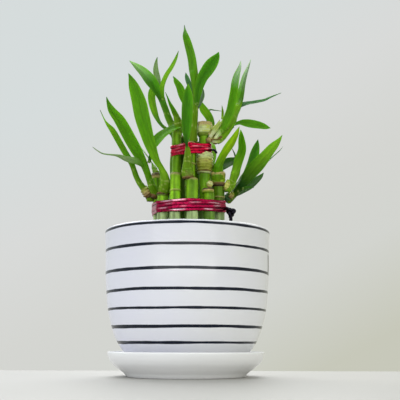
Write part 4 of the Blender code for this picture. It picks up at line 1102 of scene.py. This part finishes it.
def stalks():
    """Both tiers, each as a list of its canes, which the ties are wound round."""
    outer = []
    for number, (bearing, radius, top, rings, lean) in enumerate(OUTER_STALKS):
        foot = on_ring(OUTER_CENTRE, OUTER_RING, bearing)
        paleness, painted_shading = OUTER_PALENESS[number], OUTER_PAINTED_SHADING[number]
        outer.append(Cane(foot, radius, top, rings, lean, (radius, 0), paleness, painted_shading, (number + 1) * 3.1))
    inner = []
    for number, (bearing, away, radius, swollen, length, top, rings) in enumerate(INNER_STALKS):
        foot = on_ring(INNER_CENTRE, away, bearing)
        head, painted_shading, seed = (swollen, length), INNER_PAINTED_SHADING[number], (number + 1) * 5.3 + 50
        inner.append(Cane(foot, radius, top, rings, (0, 0), head, INNER_PALENESS, painted_shading, seed))
    for tier, canes in (("outer", outer), ("inner", inner)):
        for number, cane in enumerate(canes, 1):
            cane.build(tier, number)
    return outer, inner


def husk(name, low, high, wrinkles, stops, seed):
    """A dry sheath, scar or bud: a wrinkled skin round a line, with a ragged upper edge."""
    low = Vector(low)
    way = Vector(high) - low
    length = way.length
    way.normalize()
    side = way.cross(Vector((0, 1, 0))).normalized()
    over = side.cross(way)
    shares, radii, names = zip(*stops)
    channels = list(zip(*(HUSK_COLOURS[colour] for colour in names)))
    profile = [(share * length, radius, 0) for share, radius in zip(shares, radii)]
    sections = []
    for spot, _ in smooth_line(profile, len(stops) * HUSK_ROWS - HUSK_ROWS + 1):
        base = [float(np.interp(spot.x / length, shares, channel)) for channel in channels]
        sections.append((spot.x, spot.y, base))

    def point(section, angle):
        along, radius, base = section
        x, y = math.cos(angle), math.sin(angle)
        out = side * x + over * y
        if base is None:
            return low + way * along + out * radius, HUSK_COLOURS["brown"], (0, length, seed)
        fold = wobble(x * 1.7 + seed, y * 1.7, along * 0.75) * BROAD_FOLDS
        fold += wobble(x * 4, y * 4 + seed, along * 0.4) * FINE_FOLDS
        pleat = math.sin(along * 2.6 + 2.5 * wobble(x * 1.2, y * 1.2, seed)) * PLEATS
        ragged = wobble(x * 3, y * 3, seed) * wrinkles * RAGGED * (along / length) ** 3
        place = low + way * (along + ragged) + out * (radius + wrinkles * (fold + pleat))
        # Brown stains at random, and browner in the hollows of the folds as painted shade.
        stain_and_fold_shade = wobble(x * 2.2, y * 2.2 + seed, along * 0.55) * 1.6 - 0.25 - (fold + pleat) * 0.5
        shade = 1 + 0.3 * wobble(x * 3, y * 3, along * 1.4 + seed)
        tint = times(blend(base, HUSK_COLOURS["brown"], stain_and_fold_shade * wrinkles), shade)
        return place, tint, (angle * radius, along, seed)

    shape = Shape()
    shape.skin(sections + [(length - 0.5, 0.3, None)], CANE_CORNERS, point)
    shape.piece(name, CANE, "stalk", [], 70)


# ---- ties
def outline(tier, height, clearance, count):
    """Evenly spaced points of a line pulled tight round a tier's stalks at one height."""
    circles = [(cane.centre(height).xy, cane.radius + clearance) for cane in tier]
    pulled = []
    for step in range(360):
        way = Vector((math.cos(math.radians(step)), math.sin(math.radians(step))))
        centre, radius = max(circles, key=lambda circle: circle[0].dot(way) + circle[1])
        pulled.append(centre + way * radius)
    pulled.append(pulled[0])
    lengths = [0.0]
    for first, second in zip(pulled, pulled[1:]):
        lengths.append(lengths[-1] + (second - first).length)
    places = np.linspace(0, lengths[-1], count, endpoint=False)
    xs = np.interp(places, lengths, [point.x for point in pulled])
    ys = np.interp(places, lengths, [point.y for point in pulled])
    return [Vector((x, y)) for x, y in zip(xs, ys)]


def wire(shape, line, radius, tint, painted_highlight=None, closed=False, squash=1.0, crumple=0.0, seed=0):
    """A wire along a line of (point, direction), flattened sideways by squash.

    The colour after the tint is a highlight painted along the top of the wire's front.
    """

    def point(section, angle):
        spot, way = section
        side = way.cross(UP)
        side = side.normalized() if side.length > 0.05 else Vector((1, 0, 0))
        over = side.cross(way).normalized()
        reach = radius * (1 + crumple * wobble(spot.x / 1.3, spot.y / 1.3 + seed, spot.z / 1.3 + angle * 2))
        place = spot + side * math.cos(angle) * reach * squash + over * math.sin(angle) * reach
        if painted_highlight is None:
            return place, tint, NO_GRAIN
        # Painted highlight: a pale streak along the top of each strand, on its front.
        front = held((-spot.y - HIGHLIGHT_FROM) / (HIGHLIGHT_FULLY - HIGHLIGHT_FROM))
        highlight_share = (-0.2 + 3.6 * wobble(spot.x / 15, spot.y / 15, seed * 1.3)) * front
        return place, blend(tint, painted_highlight, pulse(math.sin(angle) - 0.25, 0.24) * highlight_share), NO_GRAIN

    shape.skin(line, WIRE_CORNERS, point, closed)


def tie(name, canes, height, tilt, strands, crumple, colours, look, nodes):
    """Foil-covered wire wound round a tier: each strand is a closed turn at its own level."""
    shape = Shape()
    lean = Euler([math.radians(angle) for angle in tilt]).to_matrix()
    for number, (level, out, radius) in enumerate(strands):
        flat = outline(canes, height, radius * TIE_SQUASH + out, 240)
        points = []
        for step, point in enumerate(flat):
            turn = math.tau * step / len(flat)
            waves = [rise * math.sin(turn * often + number * ahead) for rise, often, ahead in STRAND_WAVES]
            points.append(lean @ Vector((point.x, point.y, level + sum(waves))) + Vector((0, 0, height)))
        line = with_directions(points, True)
        wire(shape, line, radius, *colours, closed=True, squash=TIE_SQUASH, crumple=crumple, seed=number * 7)
    shape.piece(name, look, "red_tie", nodes, 80)


def twisted_ends(points, radius, turns):
    """Two wires twisted round each other along a line."""
    shape = Shape()
    spine = smooth_line(points, 70)
    for strand in range(2):
        places = []
        for step, (spot, way) in enumerate(spine):
            side = way.cross(Vector((0.2, 0.1, 1))).normalized()
            over = side.cross(way)
            turn = math.tau * turns * step / len(spine) + math.pi * strand
            places.append(spot + (side * math.cos(turn) + over * math.sin(turn)) * radius)
        wire(shape, with_directions(places), radius, SHADED_FOIL)
    return shape


def knot(shape, centre, size, radius):
    """A trefoil knot pulled tight."""
    places = []
    for step in range(120):
        turn = math.tau * step / 120
        x = math.sin(turn) + 2 * math.sin(2 * turn)
        z = math.cos(turn) - 2 * math.cos(2 * turn)
        places.append(Vector(centre) + Vector((x, -1.3 * math.sin(3 * turn), z)) * size)
    wire(shape, with_directions(places, True), radius, SHADED_FOIL, closed=True)


def ties(outer, inner):
    low = (outer, LOWER_TIE_HEIGHT, LOWER_TIE_TILT)
    high = (inner, UPPER_TIE_HEIGHT, UPPER_TIE_TILT)
    tie("lower_red_tie", *low, LOWER_STRANDS, 0.05, LOWER_RED, RED_FOIL, ["lower_tie"])
    tie("lower_tie_under", *low, SHADED_STRANDS, 0.05, SHADED_RED, RED_FOIL, [])
    tie("upper_red_tie", *high, UPPER_STRANDS, 0.16, UPPER_RED, RED_GLITTER, ["upper_tie"])
    tie("upper_tie_under", *high, SHADED_STRANDS, 0.1, SHADED_RED, RED_FOIL, [])
    twist = twisted_ends(LOWER_ENDS, 0.75, 3)
    knot(twist, LOWER_KNOT, 1.0, 1.55)
    twist.piece("lower_tie_twist", DARK_WIRE, "red_tie", [], 80)
    twisted_ends(LOWER_TAIL, 0.75, 3).piece("lower_tie_tail", DARK_WIRE, "red_tie", [], 80)
    twisted_ends(UPPER_ENDS, 0.55, 4).piece("upper_tie_twist", DARK_WIRE, "red_tie", [], 80)


# ---- shoots and leaves
# Share of the blade over which the stem flattens, and the share of a leaf's and a bract's length that
# is stem.
SHEATH_SHARE = 0.22
LEAF_OPENS = 0.12
BRACT_OPENS = 0.1
# Thickness of a blade at its base, how much thinner its tip is, the most a flat stem's core has, and
# how far the midrib stands out below, in millimetres.
BLADE_THICK, BLADE_THINS, STEM_CORE, MIDRIB = 0.24, 0.14, 0.9, 0.18
# How round the crease is, how far the sides turn down and how far the edges wave, as shares of the
# leaf's half width. The waves come at this many radians along the blade.
CREASE_ROUND, TURNED_DOWN, EDGE_WAVE, WAVE_TURN = 0.10, 0.05, 0.09, 11
# Sheaths wrapped round a stem: how many, how far each stands out and slants in millimetres, and the
# place of the first edge and the gap to the next as shares of the stem.
SHEATHS, SHEATH_STANDS, SHEATH_SLANT = 3, 0.2, 1.8
FIRST_EDGE, EDGE_GAP = 0.2, 0.24


def green_stops(look, opens):
    """The places along a leaf, from 0 to 1, where its greens are fully reached."""
    blade = 1 - opens
    turning = 1 - blade * look.tip_share
    centre = min(opens + blade * look.middle_at, turning - 0.01)
    stem, base, middle, tip = [GREENS[name] for name in look.names]
    held_to = opens * look.holds
    return [(0, stem), (held_to, stem), (opens, base), (centre, middle), (turning, middle), (1, tip)]


def leaf_green(stops, look, t, flat, across):
    """Colour at t along a leaf, across it from -1, its left edge, to 1."""
    for (low, first), (high, second) in zip(stops, stops[1:]):
        if t <= high:
            share = (t - low) / max(high - low, 1e-6)
            break
    middle = blend(first[0], second[0], share)
    edge = blend(first[1], second[1], share)
    colour = blend(middle, edge, abs(across) ** 1.8)
    colour = blend(colour, stops[-1][1][1], (t - 0.965) * 40)
    # Painted light and shade: one half of the blade lighter than the other.
    left, right = look.sides
    painted_shading = (left + right) / 2 + (right - left) / 2 * math.tanh(across * 4)
    return times(colour, 1 + (painted_shading - 1) * flat)


def sheath_steps(travelled, stem_length, angle, seed):
    """How far the leaf sheaths wrapped round a stem stand out here, and 1 on their slanting edges."""
    stand = 0.0
    edge = 0.0
    for number in range(SHEATHS):
        place = stem_length * (FIRST_EDGE + EDGE_GAP * number)
        away = travelled - (place + SHEATH_SLANT * math.cos(angle + seed + number * 2.4))
        stand += SHEATH_STANDS / (1 + math.exp(min(max(away * 6, -50), 50)))
        edge = max(edge, pulse(away, 0.28))
    return stand, edge


def leaf_sections(points, facing, opens, fold, level):
    """The places along a leaf: its middle, its own axes, and how wide, thick and folded it is there."""
    line = smooth_line(points, LEAF_SECTIONS)
    if level:
        line[0] = (line[0][0], UP)
    travelled = 0.0
    sections = []
    for index, (spot, way) in enumerate(line):
        if index:
            travelled += (spot - line[index - 1][0]).to_3d().length
        t = index / (LEAF_SECTIONS - 1)
        half = max(spot.w / 2, 0.1)
        blade = max((t - opens) / (1 - opens), 0)
        flat = min(blade / SHEATH_SHARE, 1) ** 0.8
        core = half if level else min(half, STEM_CORE)
        across = way.cross(facing).normalized()
        sections.append(SimpleNamespace(
            t=t, spot=spot.to_3d(), travelled=travelled, half=half, blade=blade, flat=flat, across=across,
            outward=across.cross(way).normalized(), fold=fold * min(blade * 9, 1),
            thick=core * (1 - flat) ** 1.5 + (BLADE_THICK - BLADE_THINS * blade) * flat,
        ))
    return sections


def leaf_bend(here, side, u, seed):
    """How far the skin stands out where the blade is folded, turned down at its sides, and wavy."""
    crease = CREASE_ROUND * here.half
    folded = (math.hypot(side, crease) - crease) * here.fold
    turned_down = TURNED_DOWN * side * side / max(here.half, 0.1) * here.flat
    wave = math.sin(here.blade * WAVE_TURN + seed + (1.5 if u > 0 else 0))
    return folded - turned_down + EDGE_WAVE * here.half * here.flat * u * u * wave


def leaf(name, nodes, facing, points, opens, look, level=False, seed=0):
    """A stem that opens through a sheath into a thin blade, creased at its midrib, with a wavy edge.

    level gives it a full round foot that is cut level.
    """
    sections = leaf_sections(points, Vector(facing).normalized(), opens, look.fold, level)
    stem_length = sections[int(opens * (LEAF_SECTIONS - 1))].travelled
    stops = green_stops(look, opens)

    def point(here, angle):
        u, v = math.cos(angle), math.sin(angle)
        stand, edge = sheath_steps(here.travelled, stem_length, angle, seed)
        swell = 1 + (stand - SHEATH_STANDS) / max(here.half, 1) * (1 - here.flat)
        side = u * here.half * swell
        lift = v * here.thick * swell + leaf_bend(here, side, u, seed)
        if v < 0:
            lift -= MIDRIB * pulse(u, 0.09) * here.flat * (1 - here.blade)
        colour = leaf_green(stops, look, here.t, held((here.t - opens) * 12), u)
        if v < -0.02 and here.flat > 0.5:
            colour = blend(colour, UNDERSIDE, 0.35)
        if here.flat < 0.5:
            colour = blend(colour, SHEATH_EDGE, edge * 0.6)
        grain = (side + seed * 3, here.travelled, v * 0.5)
        return here.spot + here.across * side + here.outward * lift, colour, grain

    shape = Shape()
    shape.skin(sections, LEAF_CORNERS, point)
    shape.piece(name, LEAF, "leaf", nodes, 80)


def rooted(points):
    """The points with one more behind the first, where a leaf's narrow foot is held in its stem."""
    first = Vector(points[0])
    back = (first - Vector(points[1])).to_3d().normalized() * 2.2
    return [(*(first.to_3d() + back), 0.6)] + points


def shoots():
    for number, (letter, (opens, facing, points)) in enumerate(SHOOTS.items()):
        look = LEAF_LOOKS[letter]
        leaf(f"growth_{letter}", [f"shoot_{letter}"], facing, points, opens, look, True, number * 1.7)
    for number, (label, (facing, points)) in enumerate(LEAVES.items()):
        look = LEAF_LOOKS[label]
        leaf(f"blade_{label}", [f"leaf_{label}"], facing, rooted(points), LEAF_OPENS, look, seed=number * 2.3)
    for number, (names, facing, points) in enumerate(BRACTS, 1):
        leaf(f"bract_{number:02d}", [], facing, points, BRACT_OPENS, greens(names), seed=number * 1.3)


# ---- stage, light and camera
def floor_skin():
    """Matt and pale, with a slowly drifting colour, and painted light: palest just before the pot, and darker
    to the right as painted shade.
    """
    graph = new_skin("floor")
    place = graph.place()
    side = graph.axes(place)[0]
    drift = graph.spread(graph.noise(place, 5.0, 3), 0.3, 0.7, -0.06, 0.06)
    # Painted shade: darker towards the right.
    share = graph.math("ADD", graph.spread(side, -0.15, 0.15), drift)
    # Painted light: paler near the middle, just before the pot.
    painted_light_before_pot = graph.spread(graph.math("ABSOLUTE", side), 0.02, 0.14, 1.06, 0.96)
    colour = graph.mix(share, FLOOR_LEFT, FLOOR_RIGHT)
    graph.set(Base_Color=graph.colour_times(colour, painted_light_before_pot), Roughness=0.5)
    return graph.owner


def floor():
    near, back, wide = FLOOR_EDGES
    mesh = bpy.data.meshes.new("floor")
    corners = [(-wide, near, 0), (wide, near, 0), (wide, back, 0), (-wide, back, 0)]
    mesh.from_pydata(corners, [], [(0, 1, 2, 3)])
    mesh.materials.append(floor_skin())
    place_in_scene("floor", mesh)


def lights():
    for name, (place, aim, size, power, colour) in LIGHTS.items():
        light = bpy.data.lights.new(name, "AREA")
        light.shape = "RECTANGLE"
        light.size, light.size_y = size
        light.energy = power
        light.color = colour
        made = place_in_scene(name, light)
        made.location = place
        made.rotation_mode = "QUATERNION"
        made.rotation_quaternion = (Vector(aim) - Vector(place)).to_track_quat("-Z", "Y")


def wall():
    """A plain pale surround, with painted shade making it a little warmer and darker low down and to the
    right.
    """
    graph = Graph(bpy.data.worlds.new("studio"))
    axes = graph.axes(graph.node("ShaderNodeTexCoord").outputs["Generated"])
    # Painted shade: darker and warmer low down and to the right.
    height = graph.math("ADD", graph.math("MULTIPLY", axes[0], -0.55), axes[2])
    ramp = graph.node("ShaderNodeValToRGB", {0: graph.math("ADD", height, 0.2)})
    stops = ramp.color_ramp.elements
    while len(stops) < len(WALL):
        stops.new(0.5)
    for stop, (place, colour) in zip(stops, WALL):
        stop.position = place
        stop.color = (*colour, 1)
    graph.put(graph.tree.nodes["Background"].inputs["Color"], ramp.outputs[0])
    bpy.context.scene.world = graph.owner


def camera():
    """Eye a little above the pot's foot, looking up."""
    lens = bpy.data.cameras.new("camera")
    lens.sensor_width = SENSOR
    lens.lens = LENS
    lens.clip_start = NEAREST
    made = place_in_scene("camera", lens)
    made.location = EYE
    tilt = Euler((math.radians(90 + EYE_TILT), 0, 0)).to_matrix()
    made.rotation_euler = (tilt @ Euler((0, 0, math.radians(EYE_ROLL))).to_matrix()).to_euler()
    bpy.context.scene.camera = made


POT_GLAZE = glaze("pot_glaze", POT_WHITE, True)
SAUCER_GLAZE = glaze("saucer_glaze", SAUCER_WHITE, False)
EARTH = earth()
CANE = cane_skin()
LEAF = leaf_skin()
RED_FOIL = foil("red_foil", 0.45, 0.0)
RED_GLITTER = foil("red_glitter", 0.35, 0.5)
DARK_WIRE = foil("dark_wire", 0.5, 0.0)

bpy.context.scene.view_settings.view_transform = "Standard"
pot()
saucer()
soil()
outer_tier, inner_tier = stalks()
for number, (name, details) in enumerate(HUSKS.items()):
    husk(name, *details, seed=number * 2.9 + 1)
ties(outer_tier, inner_tier)
shoots()
floor()
lights()
wall()
camera()
